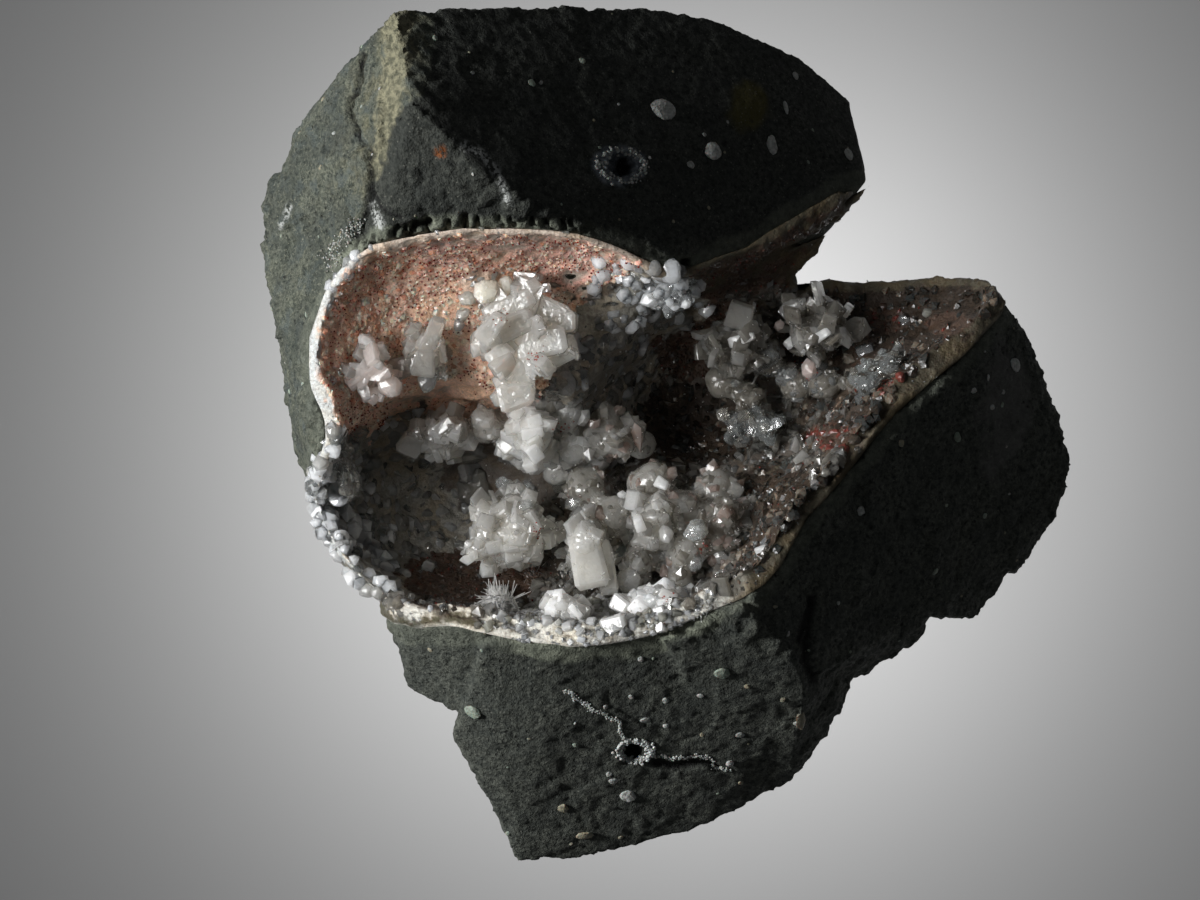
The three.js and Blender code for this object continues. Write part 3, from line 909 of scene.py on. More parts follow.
def cavity_crust(rock):
    """The crust with its relief and colours, and where crystals stand on its walls and on its rim."""
    piece = copy_of("cavity_crust", "crust_lining")
    mesh = piece.data
    points, out = places(mesh), outward(mesh)
    away, _ = sides_of(points, out, rock)
    points += out * (CRUST_GROWTH * (away < 0.6))[:, None]
    put(mesh, points)
    finish_with(piece, "REMESH", mode="VOXEL", voxel_size=CRUST_GRID * MM, use_smooth_shade=True)
    finish_with(piece, "SMOOTH", factor=0.6, iterations=3)
    points, out = places(mesh), outward(mesh)
    away, facing = sides_of(points, out, rock)
    inner = ease(0.35, 0.65, facing) * ease(0.4, 0.9, away)
    lumps = 0.6 * sampled(lambda point: noise.noise(point / 2.2), points) * inner
    points += out * (sampled(crust_relief, points) * ease(0.25, 1.0, away) + lumps)[:, None]
    for (x, y), radius, height in MOUNDS:
        reach = np.hypot(points[:, 0] - x, points[:, 1] - y) / radius
        points[:, 2] += height * np.exp(-1.5 * reach ** 2) * inner * ease(0.1, 0.5, out[:, 2])
    put(mesh, points)
    thin_out(piece, CRUST_FACES, ease(0.5, 0.1, away))
    points, out = places(mesh), outward(mesh)
    away, facing = sides_of(points, out, rock)
    found = regions_at(points)
    grounds = np.array([KINDS[region[0]].ground for region in REGIONS] + [SHADE])[found]
    rim = 1 - ease(0.35, 0.6, facing) * ease(0.5, 0.8, away)
    edge = from_outline(points) + 0.5 * sampled(lambda point: noise.noise(point / 1.5), points)
    width = RIM_WIDTH - 0.7 * ease(-22, -26, points[:, 0]) * ease(-16, -20, points[:, 1])
    rim = np.maximum(rim, ease(width + 0.3, width - 0.3, edge) * ease(0.1, 0.35, out[:, 2]))
    skin = ease(-25, -29, points[:, 0]) * ease(-17, -20, points[:, 1])
    skin *= ease(2.2, 1.6, edge) * ease(0.1, 0.4, away)
    colour_points(mesh, grounds + rim[:, None] * (rim_colours(points, skin) - grounds))
    keep(piece, crust_finish(), "crust", "cavity_crust")
    far_tip = (points[:, 0] > 20) & (points[:, 1] > 20)
    inward = (towards_line(points, out, CAVITY_LINE) > -0.25) | (out[:, 2] > 0.55)
    inner = (facing > 0.5) & (away > 0.55) & inward & (rim < 0.3)
    return piece, inner, (rim > 0.5) & (away > 0.3) & (out[:, 2] > 0.15) & (skin < 0.5) & ~far_tip


# ---------------------------------------------------------------- druse and crystal groups


def spread_out(mesh, allowed, gap_of, tries, draw):
    """Places on a mesh's faces, no two nearer than the gap there, with the normal at each."""
    faces = [face for face in mesh.polygons if allowed[list(face.vertices)].all()]
    weights = np.cumsum([face.area for face in faces])
    taken, found = {}, []
    for _ in range(tries):
        face = faces[int(np.searchsorted(weights, draw.random() * weights[-1]))]
        corners = [mesh.vertices[index].co for index in face.vertices[:3]]
        a, b = sorted((draw.random(), draw.random()))
        place = (corners[0] * a + corners[1] * (b - a) + corners[2] * (1 - b)) / MM
        cell = tuple(int(math.floor(each / SEARCH_CELL)) for each in place)
        gap = gap_of(place)
        near = (
            other
            for dx in (-1, 0, 1) for dy in (-1, 0, 1) for dz in (-1, 0, 1)
            for other in taken.get((cell[0] + dx, cell[1] + dy, cell[2] + dz), ())
        )
        if any((other - place).length < gap for other in near):
            continue
        taken.setdefault(cell, []).append(place)
        found.append((place, Vector(face.normal)))
    return found


# the rim's grains: plan box, forms, gap, least and greatest size, colours; the first box that holds a
# place counts
RIM_GRAINS = [
    ((-60, 40, -45, 19), BEADS + CHUNKS, 1.2, (1.8, 2.6), (FROST, MILK, WHITE)),
    ((-60, 4, -38, -24), BEADS + CHUNKS + SHARDS, 0.9, (1.4, 3.2), (FROST, SNOW, ICE, FROST, SNOW, WHITE)),
    ((-27, -18, 6, -40), CHUNKS + BLOCKS, 0.6, (0.7, 1.6), (SNOW, SNOW, WHITE, STRAW)),
    ((-40, -18, -27, -40), CHUNKS + BEADS, 0.7, (0.8, 1.5), (SNOW, WHITE, CHALKY)),
    ((-60, 60, -5, 4), BEADS, 2.4, (0.7, 1.3), (CHALKY, CREAM)),
    ((-60, 60, 10, 4), CHUNKS, 0.9, (0.7, 1.2), (MURK, SOOT, DIM)),
    ((14, 60, 60, -60), CHUNKS, 2.6, (0.7, 1.2), (SOOT, MURK)),
    ((-60, 60, 60, -60), CHUNKS + BEADS, 1.1, (0.8, 1.4), (SOOT, NIGHT, MURK, SOOT)),
]


def rim_grain(place):
    for (left, top, right, bottom), *grain in RIM_GRAINS:
        if left < place.x < right and bottom < place.y < top:
            return grain
    return RIM_GRAINS[-1][1:]


def rim_crystals(crust, rim):
    """Flat-topped grains side by side along the crust's broken edge."""
    draw = random.Random(SEED + 3)
    grains = []
    for place, out in spread_out(crust.data, rim, lambda place: rim_grain(place)[1], RIM_TRIES, draw):
        forms, _, sizes, colours = rim_grain(place)
        size = draw.uniform(*sizes)
        squash = (draw.uniform(0.8, 1.2), draw.uniform(0.8, 1.2), 1)
        grains.append((draw.choice(forms), stand(place - out * 0.66 * size, out, size, 0.2, draw, squash),
                       tinted(draw.choice(colours), draw, 0.15)))
    keep(grow("rim_crystals", grains), MILKY, "milky_crystal")


def druse(crust, inner):
    """The small crystals all over the walls, with white chips as painted glints, and rust specks."""
    draw = random.Random(SEED)
    milky, clear, grainy, specks = [], [], [], []
    found = spread_out(crust.data, inner, lambda place: 0.5 * kind_at(place).size, DRUSE_TRIES, draw)
    for place, out in found:
        kind = kind_at(place)
        size = kind.size * draw.uniform(0.6, 1.35)
        squash = (draw.uniform(0.8, 1.3), draw.uniform(0.8, 1.3), 1)
        stood = stand(place - out * kind.sink * size, out, size, 0.35, draw, squash)
        tint = draw.choice(kind.tints)
        if draw.random() < kind.clear:
            form = draw.choice(kind.forms)
            clear.append((form, stood, tinted(ICE if kind.grainy else tint, draw, 0.2)))
        else:
            group = grainy if kind.grainy else milky
            group.append((draw.choice(kind.forms), stood, tinted(tint, draw, 0.15)))
        # painted highlight: a tiny white chip on some crystals stands in for a glint of light
        if draw.random() < kind.painted_glint_share:
            spot = place + out * (0.6 - kind.sink) * size
            milky.append((draw.choice(SHARDS), stand(spot, out, draw.uniform(0.25, 0.5), 0.8, draw), SNOW))
        if draw.random() < kind.specks * (0.9 + 2.4 * noise.noise(place / 2.5)):
            spot = place + out * (0.7 - kind.sink) * size
            squash = (draw.uniform(0.5, 1.5), draw.uniform(0.5, 1.5), 1)
            form = draw.choice(CHUNKS)
            specks.append((form, stand(spot, out, draw.uniform(0.15, 0.36), 0.6, draw, squash), RUST))
    keep(grow("milky_druse", milky), MILKY, "milky_crystal")
    keep(grow("clear_druse", clear), CLEAR, "clear_crystal")
    keep(grow("grainy_druse", grainy), GRAINY, "rosy_crystal")
    keep(grow("rust_specks", specks), GRAINY, "rosy_crystal")


FLAKES = PLATES + SHARDS + BLOCKS
# node: forms, crystal length, gap between crystals, share sunk, colours, material slot
GROUPS = {
    "shelf_blades": (FLAKES, 3.2, 2.0, 0.72, (MILK, MILK, PEARL, MILK, PEARL), "milky_crystal"),
    "shelf_plate": (FLAKES, 3.0, 1.8, 0.72, (PEARL, GREY, PEARL), "rosy_crystal"),
    "rosy_tuft": (FLAKES, 3.0, 1.8, 0.68, (BLOSSOM, MILK, BLOSSOM, PEARL), "rosy_crystal"),
    "ledge_blades": (FLAKES, 3.6, 1.6, 0.6, (MILK, MILK, PEARL), "milky_crystal"),
    "middle_column": (FLAKES, 3.8, 1.6, 0.62, (WHITE, CHALKY, WHITE), "milky_crystal"),
    "middle_rosette": (SHARDS + CHUNKS, 3.0, 1.5, 0.6, (GREY, DIM, GREY, DUSK), "milky_crystal"),
    "pale_dome": (FLAKES + CHUNKS, 3.2, 1.5, 0.62, (PEARL, MILK, PEARL, MILK), "milky_crystal"),
    "needle_spray": (NEEDLES, 3.0, 0.36, 0.1, (SNOW,), "milky_crystal"),
    "tall_blades": (FLAKES, 3.8, 1.9, 0.7, (PEARL, MILK, GREY), "milky_crystal"),
    "round_mass": (BEADS + CHUNKS + BLOCKS, 3.0, 1.5, 0.6, (PEARL, GREY, MILK), "milky_crystal"),
    "right_mass": (CHUNKS + SHARDS + BEADS, 2.6, 1.4, 0.55, (DIM, MURK, DUSK), "milky_crystal"),
    "rim_blocks_left": (SLABS + FLAKES, 2.6, 1.2, 0.5, (SNOW, WHITE), "milky_crystal"),
    "rim_blocks_right": (SLABS + FLAKES, 2.6, 1.2, 0.5, (SNOW, WHITE, ICE), "milky_crystal"),
    "left_rim_beads": (BEADS, 2.2, 1.2, 0.5, (ICE, WHITE, MILK), "clear_crystal"),
    "blue_beads": (BEADS, 2.4, 1.3, 0.5, (ICE, SMOKE), "clear_crystal"),
    "channel_blades": (PLATES + SHARDS, 3.4, 1.5, 0.45, (DIM, GREY, DIM, GREY), "milky_crystal"),
    "mouth_blades": (PLATES + SHARDS, 3.4, 1.6, 0.45, (DIM, GREY, DIM, MURK), "milky_crystal"),
    "slope_druse": (BEADS + CHUNKS, 2.2, 1.3, 0.6, (SMOKE, MURK, DIM), "clear_crystal"),
    "channel_beads": (BEADS + CHUNKS, 2.0, 1.1, 0.5, (SMOKE, PEARL), "clear_crystal"),
}
# masses between the groups: balls (place, radius), then as in GROUPS
BRIDGES = {
    "low_bridge": (
        [((-8.5, -12, 40), 4), ((-3, -7, 37), 4), ((1.5, -11, 41), 4), ((7, -8, 38), 4), ((-13, -8, 37), 4),
         ((-5, -18.5, 42.5), 3.4), ((2, -17, 43), 3.4), ((8, -17, 42), 3.4), ((12, -12, 40), 4),
         ((1, -22, 43), 3)],
        SHARDS + CHUNKS, 2.4, 1.3, 0.55, (GREY, DIM, DUSK, DIM), "milky_crystal"),
    "middle_bridge": (
        [((-15.5, 2, 37), 3), ((-20, 5, 41), 3), ((-12, -3, 33), 3.5), ((-28, 2, 40), 3), ((-5, -1, 34), 3),
         ((-24, 1, 36), 3.4), ((-20, -1, 34), 3.4), ((-17, -5, 33), 3), ((-15.4, 3.5, 41), 3),
         ((-15, -1.5, 38), 3), ((-17.5, 6.8, 42), 2.6)],
        SHARDS + CHUNKS, 2.4, 1.3, 0.55, (PEARL, MILK, GREY, PEARL), "milky_crystal"),
    "channel_bridge": (
        [((14, 12, 31), 3.4), ((19, 8, 31), 3), ((12, 6, 28), 3), ((24, 8, 34), 3), ((29, 8, 37), 3),
         ((8, 8, 28), 3)],
        BEADS + CHUNKS, 2.2, 1.1, 0.5, (DIM, SMOKE, MURK), "milky_crystal"),
}
ACCENT_LIFT = 0.8  # how far a crystal that stands out is above its mass's root
SMALL_SHARE = 0.35  # share of a group's crystals that are small ones on the backs of the others
# the crystals that stand out: form, plan place, length, width and height, bearing of the length on the
# plan, how far it is tipped up, colour, and "clear" where it is
ACCENTS = [
    (BEADS, (-25.0, -6.9), (2.6, 2.4, 2.0), 30, 0, ICE, "clear"),
    (BEADS, (-21.8, -7.4), (3.2, 2.8, 2.2), 100, 0, ICE, "clear"),
    (BEADS, (-21.6, -10.4), (3.0, 2.6, 2.2), 0, 0, ICE, "clear"),
    (SLABS, (-20.2, -11.5), (2.6, 1.2, 1.6), -50, 10, WHITE),
    (CHUNKS, (-30.2, -15.8), (1.7, 1.4, 1.6), 40, 0, WHITE),
    (SLABS, (-22.8, -18.9), (2.4, 1.8, 1.6), 60, 20, MILK),
    (CHUNKS, (-27.2, -22.8), (1.6, 1.0, 1.4), 120, 0, WHITE),
    (CHUNKS, (-17.1, -17.6), (2.6, 1.7, 1.6), 170, 20, WHITE),
    (BEADS, (-16.8, -17.4), (3.0, 2.0, 2.2), 170, 0, ICE, "clear"),
    (SLABS, (-12.4, -18.6), (8.0, 5.6, 3.8), 100, 3, MILK),
    (BOULDERS, (-12.3, -15.2), (5.4, 6.0, 4.2), 10, 0, MILK),
    (SLABS, (-9.8, -19.2), (8.0, 2.8, 3.4), 96, 4, PEARL),
    (BEADS, (-13.4, -13.2), (1.4, 1.0, 1.0), 20, 0, WHITE),
    (BEADS, (-12.0, -12.7), (1.4, 1.0, 1.0), 0, 0, ICE, "clear"),
    (BEADS, (-10.6, -12.8), (1.4, 1.1, 1.0), -20, 0, WHITE),
    (BEADS, (-9.3, -13.4), (1.5, 1.0, 1.0), -40, 0, WHITE),
    (BEADS, (-8.2, -14.5), (1.3, 1.0, 1.0), -50, 0, ICE, "clear"),
    (BOULDERS, (-6.4, -20.6), (5.4, 5.0, 4.6), 90, 10, PEARL),
    (SLABS, (-4.9, -12.9), (2.4, 1.7, 1.8), 110, 30, WHITE),
    (BOULDERS, (-1.6, -10.2), (4.0, 3.6, 3.0), 100, 0, PEARL),
    (BEADS, (-0.9, -14.0), (3.2, 2.5, 2.5), 100, 0, MILK),
    (CHUNKS, (-7.2, -8.6), (1.8, 1.6, 1.6), 20, 30, WHITE),
    (SLABS, (-1.4, -7.0), (2.2, 1.8, 1.8), -30, 25, WHITE),
    (BOULDERS, (4.1, -13.8), (4.2, 3.8, 3.0), 20, 0, ICE, "clear"),
    (BEADS, (3.9, -18.6), (3.2, 3.2, 2.6), 0, 0, ICE, "clear"),
    (CHUNKS, (-15.9, -24.6), (2.8, 2.4, 2.2), 20, 15, WHITE),
    (SLABS, (-13.6, -25.6), (3.0, 2.4, 2.2), -20, 15, WHITE),
    (CHUNKS, (-17.6, -25.2), (1.8, 1.4, 1.6), 60, 20, WHITE),
    (SLABS, (-8.6, -27.2), (3.6, 2.6, 2.2), 20, 10, CHALKY),
    (CHUNKS, (-5.2, -24.5), (3.6, 1.5, 1.6), 95, 20, WHITE),
    (BOULDERS, (-1.9, -22.8), (3.6, 3.2, 2.6), 80, 0, MILK),
    (SLABS, (-1.1, -25.4), (3.2, 2.8, 2.2), 10, 10, WHITE),
    (CHUNKS, (2.7, -22.0), (2.4, 1.6, 1.8), 90, 15, WHITE),
    (SLABS, (13.1, -16.6), (1.9, 1.6, 1.8), 20, 20, WHITE),
    (BEADS, (-45.2, 14.3), (3.0, 2.3, 2.4), 130, 0, WHITE),
    (BEADS, (-49.8, 8.0), (2.2, 2.0, 2.0), 0, 0, MILK),
    (SLABS, (-35.4, 14.4), (6.6, 2.7, 2.2), 66, 5, GREY),
    (SLABS, (-36.6, 10.8), (4.2, 3.6, 2.2), 80, 5, GREY),
    (SLABS, (-39.6, 10.2), (4.2, 3.4, 1.8), 10, 5, GREY),
    (BEADS, (-35.6, 8.2), (3.8, 3.4, 2.2), 20, 5, SMOKE),
    (SHARDS, (-43.2, 9.2), (5.2, 2.6, 4.0), 20, 4, BLOSSOM),
    (SHARDS, (-45.6, 8.8), (4.4, 2.4, 3.4), 80, 6, BLOSSOM),
    (BEADS, (-40.9, 7.9), (4.2, 4.0, 2.6), 40, 5, BLOSSOM),
    (SHARDS, (-45.4, 7.0), (3.8, 2.4, 3.4), 110, 4, MILK),
    (SLABS, (-42.6, 12.6), (2.6, 1.6, 2.0), 110, 20, PEARL),
    (BOULDERS, (-33.3, 12.6), (3.8, 3.6, 3.0), 0, 0, SMOKE, "clear"),
    (BEADS, (-34.0, 9.8), (3.4, 2.6, 2.4), 20, 0, SMOKE, "clear"),
    (BEADS, (-31.5, 17.0), (2.5, 1.8, 2.2), 80, 0, WHITE),
    (BOULDERS, (-29.8, 20.6), (3.4, 3.4, 2.4), 0, 0, STRAW),
    (BOULDERS, (-27.0, 21.8), (4.6, 4.4, 2.8), 40, 0, STRAW),
    (BEADS, (-24.4, 22.6), (3.0, 2.6, 2.2), 70, 0, STRAW),
    (BEADS, (-30.6, 18.2), (2.4, 2.2, 2.0), 20, 0, STRAW),
    (SLABS, (-23.9, 19.0), (7.5, 3.6, 2.2), 28, 4, PEARL),
    (SLABS, (-18.3, 18.3), (6.5, 4.2, 2.4), -14, 5, PEARL),
    (SLABS, (-16.2, 17.0), (4.0, 4.0, 2.4), 3, 6, MILK),
    (SLABS, (-23.4, 16.2), (6.2, 4.0, 2.4), 20, 5, MILK),
    (SLABS, (-26.6, 15.8), (5.2, 3.0, 2.0), 52, 6, PEARL),
    (SLABS, (-19.2, 13.8), (7.0, 5.0, 2.6), 12, 5, MILK),
    (SLABS, (-16.9, 12.0), (6.2, 3.6, 2.4), 22, 6, CHALKY),
    (SLABS, (-22.6, 9.0), (6.0, 5.0, 2.6), 82, 5, PEARL),
    (SLABS, (-22.9, 6.0), (5.2, 4.2, 2.6), 8, -7, PEARL),
    (SLABS, (-25.3, 11.9), (4.2, 3.2, 2.2), 40, 8, MILK),
    (BEADS, (-16.4, 14.0), (2.2, 1.2, 1.6), 10, 0, WHITE),
    (CHUNKS, (-18.2, 9.6), (2.2, 1.8, 1.8), 60, 0, WHITE),
    (BEADS, (-23.2, 6.6), (2.4, 2.2, 2.2), 60, 0, WHITE),
    (CHUNKS, (-29.6, 2.2), (3.8, 2.2, 1.4), 15, 30, WHITE),
    (SLABS, (-16.5, 4.5), (2.2, 1.8, 1.8), 70, 20, WHITE),
    (BEADS, (-14.5, -9.4), (3.4, 3.0, 2.4), 80, 0, ICE, "clear"),
    (CHUNKS, (-46.7, 1.3), (4.2, 3.6, 3.0), 60, 0, SMOKE, "clear"),
    (SLABS, (-37.1, -20.2), (2.8, 2.2, 2.0), 60, 15, PEARL),
    (CHUNKS, (-5.4, 1.1), (4.8, 2.2, 2.2), 95, 10, ROSE),
    (BEADS, (10.5, 11.0), (3.2, 2.6, 2.4), 0, 0, ROSE),
    (SLABS, (10.7, 14.7), (4.2, 1.6, 1.2), 20, 25, WHITE),
    (CHUNKS, (16.8, 17.1), (2.2, 1.8, 1.8), 20, 15, ROSE),
    (SLABS, (19.0, 15.1), (4.2, 1.5, 1.2), 40, 25, WHITE),
    (CHUNKS, (18.6, 14.6), (3.4, 1.5, 1.2), 135, 25, CHALKY),
    (SLABS, (19.4, 13.9), (3.2, 1.4, 1.2), -50, 25, MILK),
    (SLABS, (22.6, 15.3), (3.0, 1.6, 1.4), 30, 25, WHITE),
    (BEADS, (15.2, 11.9), (3.6, 3.2, 2.6), 0, 0, SMOKE, "clear"),
    (CHUNKS, (20.9, 9.6), (3.8, 3.0, 2.2), -70, 0, ROSE),
    (BEADS, (23.7, 10.6), (2.2, 2.0, 2.0), 0, 0, SMOKE, "clear"),
    (SLABS, (26.6, 19.2), (2.0, 1.6, 1.6), 50, 20, MILK),
    (BEADS, (39.4, 18.8), (1.9, 1.8, 1.4), 0, 0, CREAM),
    (SLABS, (29.8, 13.2), (2.6, 1.8, 1.6), 30, 20, ICE, "clear"),
    (SLABS, (15.2, 1.9), (3.4, 2.0, 1.6), 20, 25, ICE, "clear"),
    (BEADS, (8.4, 3.4), (2.5, 2.2, 2.0), 0, 0, PEARL),
    (BEADS, (11.4, 3.2), (2.3, 2.0, 2.0), 0, 0, GREY),
]
RUST_SPOTS = [
    (-16.3, 1.7), (-20.0, -14.5), (-24.8, 17.6), (-20.2, 11.9), (4.4, -16.4), (20.6, 10.4), (-0.6, -24.2),
]
BEAD_LINE = [(-52.3, -1), (-51.6, -5), (-49.6, -9.5), (-47.6, -13.6), (-45.2, -17.2), (-41.5, -21)]
BLUE_BEADS = [
    (-9.5, 24.6), (-7.6, 23.4), (-5.2, 24.2), (-3.0, 22.8), (-6.2, 21.2), (0.6, 22.6), (2.4, 21.8),
    (4.0, 20.6), (-3.4, 18.6), (-5.6, 17.4), (-8.2, 17.0), (1.0, 19.0), (-1.2, 20.8), (-10.8, 22.6),
    (-4.4, 20.0),
]
# tufts of fine needles: plan place, spread, how many, length, colours
TUFTS = [
    ((-20.7, -20.6), 1.5, 60, 1.5, (ROSE, TAWNY, WHITE)), ((-26.0, -18.2), 1.1, 30, 1.1, (ROSE, WHITE)),
    ((5.0, -24.6), 2.2, 90, 1.6, (ICE, WHITE, SMOKE)), ((-16.0, -21.8), 1.1, 26, 1.2, (BLUSH, TAWNY)),
]
# tiny white chips laid on as painted glints: plan place, spread, how many
PAINTED_GLINTS = [
    ((-22, -13), (10, 12), 70), ((0, -15), (26, 14), 220), ((-20, 12), (16, 16), 60),
    ((18, 12), (20, 12), 130), ((30, 12), (16, 14), 110), ((12, 2), (14, 6), 90),
    ((-6, -24), (24, 6), 90), ((-5, 22), (14, 8), 60),
]

GROUP_BOXES = {node: [Vector(corner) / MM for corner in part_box(node)] for node in GROUPS}


def group_at(x, y):
    """The crystal group whose box on the plan holds a place; the smallest one where boxes overlap."""
    holding = []
    for node, (low, high) in GROUP_BOXES.items():
        if low.x < x < high.x and low.y < y < high.y:
            holding.append(((high.x - low.x) * (high.y - low.y), node))
    return min(holding)[1] if holding else None


def grown_in(node, root, draw):
    """The crystals that stand out of a group and are part of its mass."""
    tree = tree_of(root)
    found = []
    for forms, (x, y), sizes, bearing, tip, colour, *is_clear in ACCENTS:
        if node is None or is_clear or group_at(x, y) != node:
            continue
        place, _ = on_rock(tree, x, y)
        if place is None:
            place = Vector((x, y, places(root.data)[:, 2].mean()))
        place = place + Vector((0, 0, ACCENT_LIFT))
        stood = laid(place, sizes, bearing + draw.gauss(0, 4), tip + draw.gauss(0, 4))
        found.append((draw.choice(forms), stood, tinted(colour, draw, 0.08)))
    return found


def around(tree, x, y, spread, count, draw):
    """Places scattered about a plan place on whatever lies there, with the normal at each."""
    for _ in range(count):
        place, out = on_rock(tree, x + draw.gauss(0, spread[0]), y + draw.gauss(0, spread[1]))
        if place is not None:
            yield place, out


def rim_bead_places(tree, draw):
    """Places along the line of beads at the left rim."""
    for start, end in zip(BEAD_LINE, BEAD_LINE[1:]):
        for share in (0.0, 0.2, 0.4, 0.6, 0.8):
            x, y = (a + share * (b - a) + draw.uniform(-0.7, 0.7) for a, b in zip(start, end))
            place, out = on_rock(tree, x, y)
            if place is not None:
                yield place, out


def accents(tree):
    """The crystals that stand out, set on whatever lies under them, the tufts and the rust spots."""
    draw = random.Random(SEED + 2)
    milky, clear, rust = [], [], []
    for forms, (x, y), sizes, bearing, tip, colour, *is_clear in ACCENTS:
        if not is_clear and group_at(x, y):
            continue
        place, _ = on_rock(tree, x, y)
        place = place - Vector((0, 0, 0.1 * sizes[2]))
        stood = laid(place, sizes, bearing + draw.gauss(0, 5), tip + draw.gauss(0, 5))
        (clear if is_clear else milky).append((draw.choice(forms), stood, tinted(colour, draw, 0.08)))
    for place, out in rim_bead_places(tree, draw):
        size = draw.uniform(2.4, 3.6)
        upward = out + Vector((0, 0, 0.8))
        stood = stand(place - out * 0.1 * size, upward, size, 0.2, draw, (1.05, 1.05, 0.7))
        bead = (draw.choice(BEADS + CHUNKS), stood, tinted(draw.choice((FROST, SNOW, FROST)), draw, 0.05))
        (clear if draw.random() < 0.15 else milky).append(bead)
    for x, y in BLUE_BEADS:
        for place, out in around(tree, x, y, (0.8, 0.8), 3, draw):
            size = draw.uniform(1.5, 3.0)
            stood = stand(place - out * 0.2 * size, out, size, 0.4, draw)
            form = draw.choice(BEADS + CHUNKS)
            milky.append((form, stood, tinted(draw.choice((ICE, SNOW, ICE)), draw, 0.05)))
    for (x, y), spread, count, length, colours in TUFTS:
        for place, out in around(tree, x, y, (0.5 * spread, 0.5 * spread), count, draw):
            size = length * draw.uniform(0.6, 1.2)
            stood = stand(place - out * 0.2 * size, out, size, 0.6, draw)
            milky.append((draw.choice(NEEDLES), stood, tinted(draw.choice(colours), draw)))
    # painted highlights: white chips scattered over the masses stand in for glints of light on facets
    for (x, y), (wide, deep), count in PAINTED_GLINTS:
        for place, out in around(tree, x, y, (0.5 * wide, 0.5 * deep), count, draw):
            stood = stand(place, out, draw.uniform(0.2, 0.5), 0.9, draw, (0.8, 0.5, 1))
            milky.append((draw.choice(SHARDS), stood, SNOW))
    for x, y in RUST_SPOTS:
        for place, out in around(tree, x, y, (0.7, 0.7), 16, draw):
            stood = stand(place, out, draw.uniform(0.15, 0.35), 0.5, draw)
            rust.append((draw.choice(CHUNKS), stood, tinted(IRON, draw, 0.3)))
    keep(grow("standing_crystals", milky), MILKY, "milky_crystal")
    keep(grow("standing_clear_crystals", clear), CLEAR, "clear_crystal")
    keep(grow("rust_spots", rust), GRAINY, "rosy_crystal")


def tinted_copy(form, stood, tint):
    """One crystal as a piece of its own, its faces marked with its tint."""
    corners, sides = form
    place, matrix = stood
    mesh = bpy.data.meshes.new("crystal")
    mesh.from_pydata((corners @ matrix.T + place) * MM, [], sides.tolist())
    return tint_faces(bpy.data.objects.new("crystal", mesh), tint)


def tint_faces(piece, tint):
    attribute = piece.data.attributes.new("tint", "FLOAT_COLOR", "FACE")
    attribute.data.foreach_set("color", np.tile(tint, len(piece.data.polygons)).astype(np.float32))
    return piece


def fused(root, crystals):
    """Makes one skin out of a root and the crystals that run into it."""
    gathered = bpy.data.collections.new("gathered")
    bpy.context.scene.collection.children.link(gathered)
    for crystal in crystals:
        gathered.objects.link(tinted_copy(*crystal))
    finish_with(root, "BOOLEAN", operation="UNION", operand_type="COLLECTION", collection=gathered,
                solver="MANIFOLD")
    for piece in list(gathered.objects):
        bpy.data.meshes.remove(piece.data)
    bpy.data.collections.remove(gathered)
    only(root)
    bpy.ops.object.mode_set(mode="EDIT")
    bpy.ops.mesh.select_all(action="SELECT")
    bpy.ops.mesh.quads_convert_to_tris()
    bpy.ops.object.mode_set(mode="OBJECT")
    bpy.ops.object.shade_flat()
    return root


def balls(name, places_and_sizes):
    """A rough mass of balls that run into each other."""
    made = []
    for place, radius in places_and_sizes:
        made.append(basic("ico_sphere", subdivisions=3, radius=radius * MM, location=Vector(place) * MM))
    for ball in made:
        ball.select_set(True)
    bpy.context.view_layer.objects.active = made[0]
    bpy.ops.object.join()
    bpy.ops.object.transform_apply(location=True)
    made[0].name = name
    return made[0]


def crystal_mass(root, node, name, forms, length, gap, sunk, colours, seed):
    """A mass with crystals grown into each other all over its free side, fanning out from its foot."""
    draw = random.Random(seed)
    finish_with(root, "REMESH", mode="VOXEL", voxel_size=ROOT_GRID * MM)
    finish_with(root, "SMOOTH", factor=0.8, iterations=4)
    finish_with(root, "TRIANGULATE")
    points, out = places(root.data), outward(root.data)
    swell = sampled(lambda point: 0.9 * noise.noise(point / 4), points)
    points += out * (swell - (1.8 if forms is NEEDLES else 0.6))[:, None]
    put(root.data, points)
    low, high = points.min(0), points.max(0)
    foot = Vector(((low[0] + high[0]) / 2, (low[1] + high[1]) / 2, low[2] + 0.3 * (high[2] - low[2])))
    crystals = []
    free = points[:, 2] > foot.z
    for place, out in spread_out(root.data, free, lambda place: 0.8 * gap, GROUP_TRIES, draw):
        small = draw.random() < SMALL_SHARE
        size = (0.45 if small else 1.0) * length * draw.uniform(0.75, 1.25)
        squash = (draw.uniform(0.7, 1.2), draw.uniform(0.7, 1.2), 1)
        along = (out + (place - foot).normalized()).normalized()
        deep = (sunk + draw.gauss(0, 0.12)) * size
        put_at = stand(place - along * deep, along, size, 0.18, draw, squash)
        crystals.append((draw.choice(forms), put_at, tinted(draw.choice(colours), draw)))
    crystals += grown_in(node, root, draw)
    if forms is NEEDLES:
        faces = np.array([tuple(face.vertices) for face in root.data.polygons])
        piece = grow(name, crystals, (points, faces, tinted(colours[0], draw)))
        bpy.data.objects.remove(root)
        return piece
    root.name = root.data.name = name
    return fused(tint_faces(root, colours[0]), crystals)


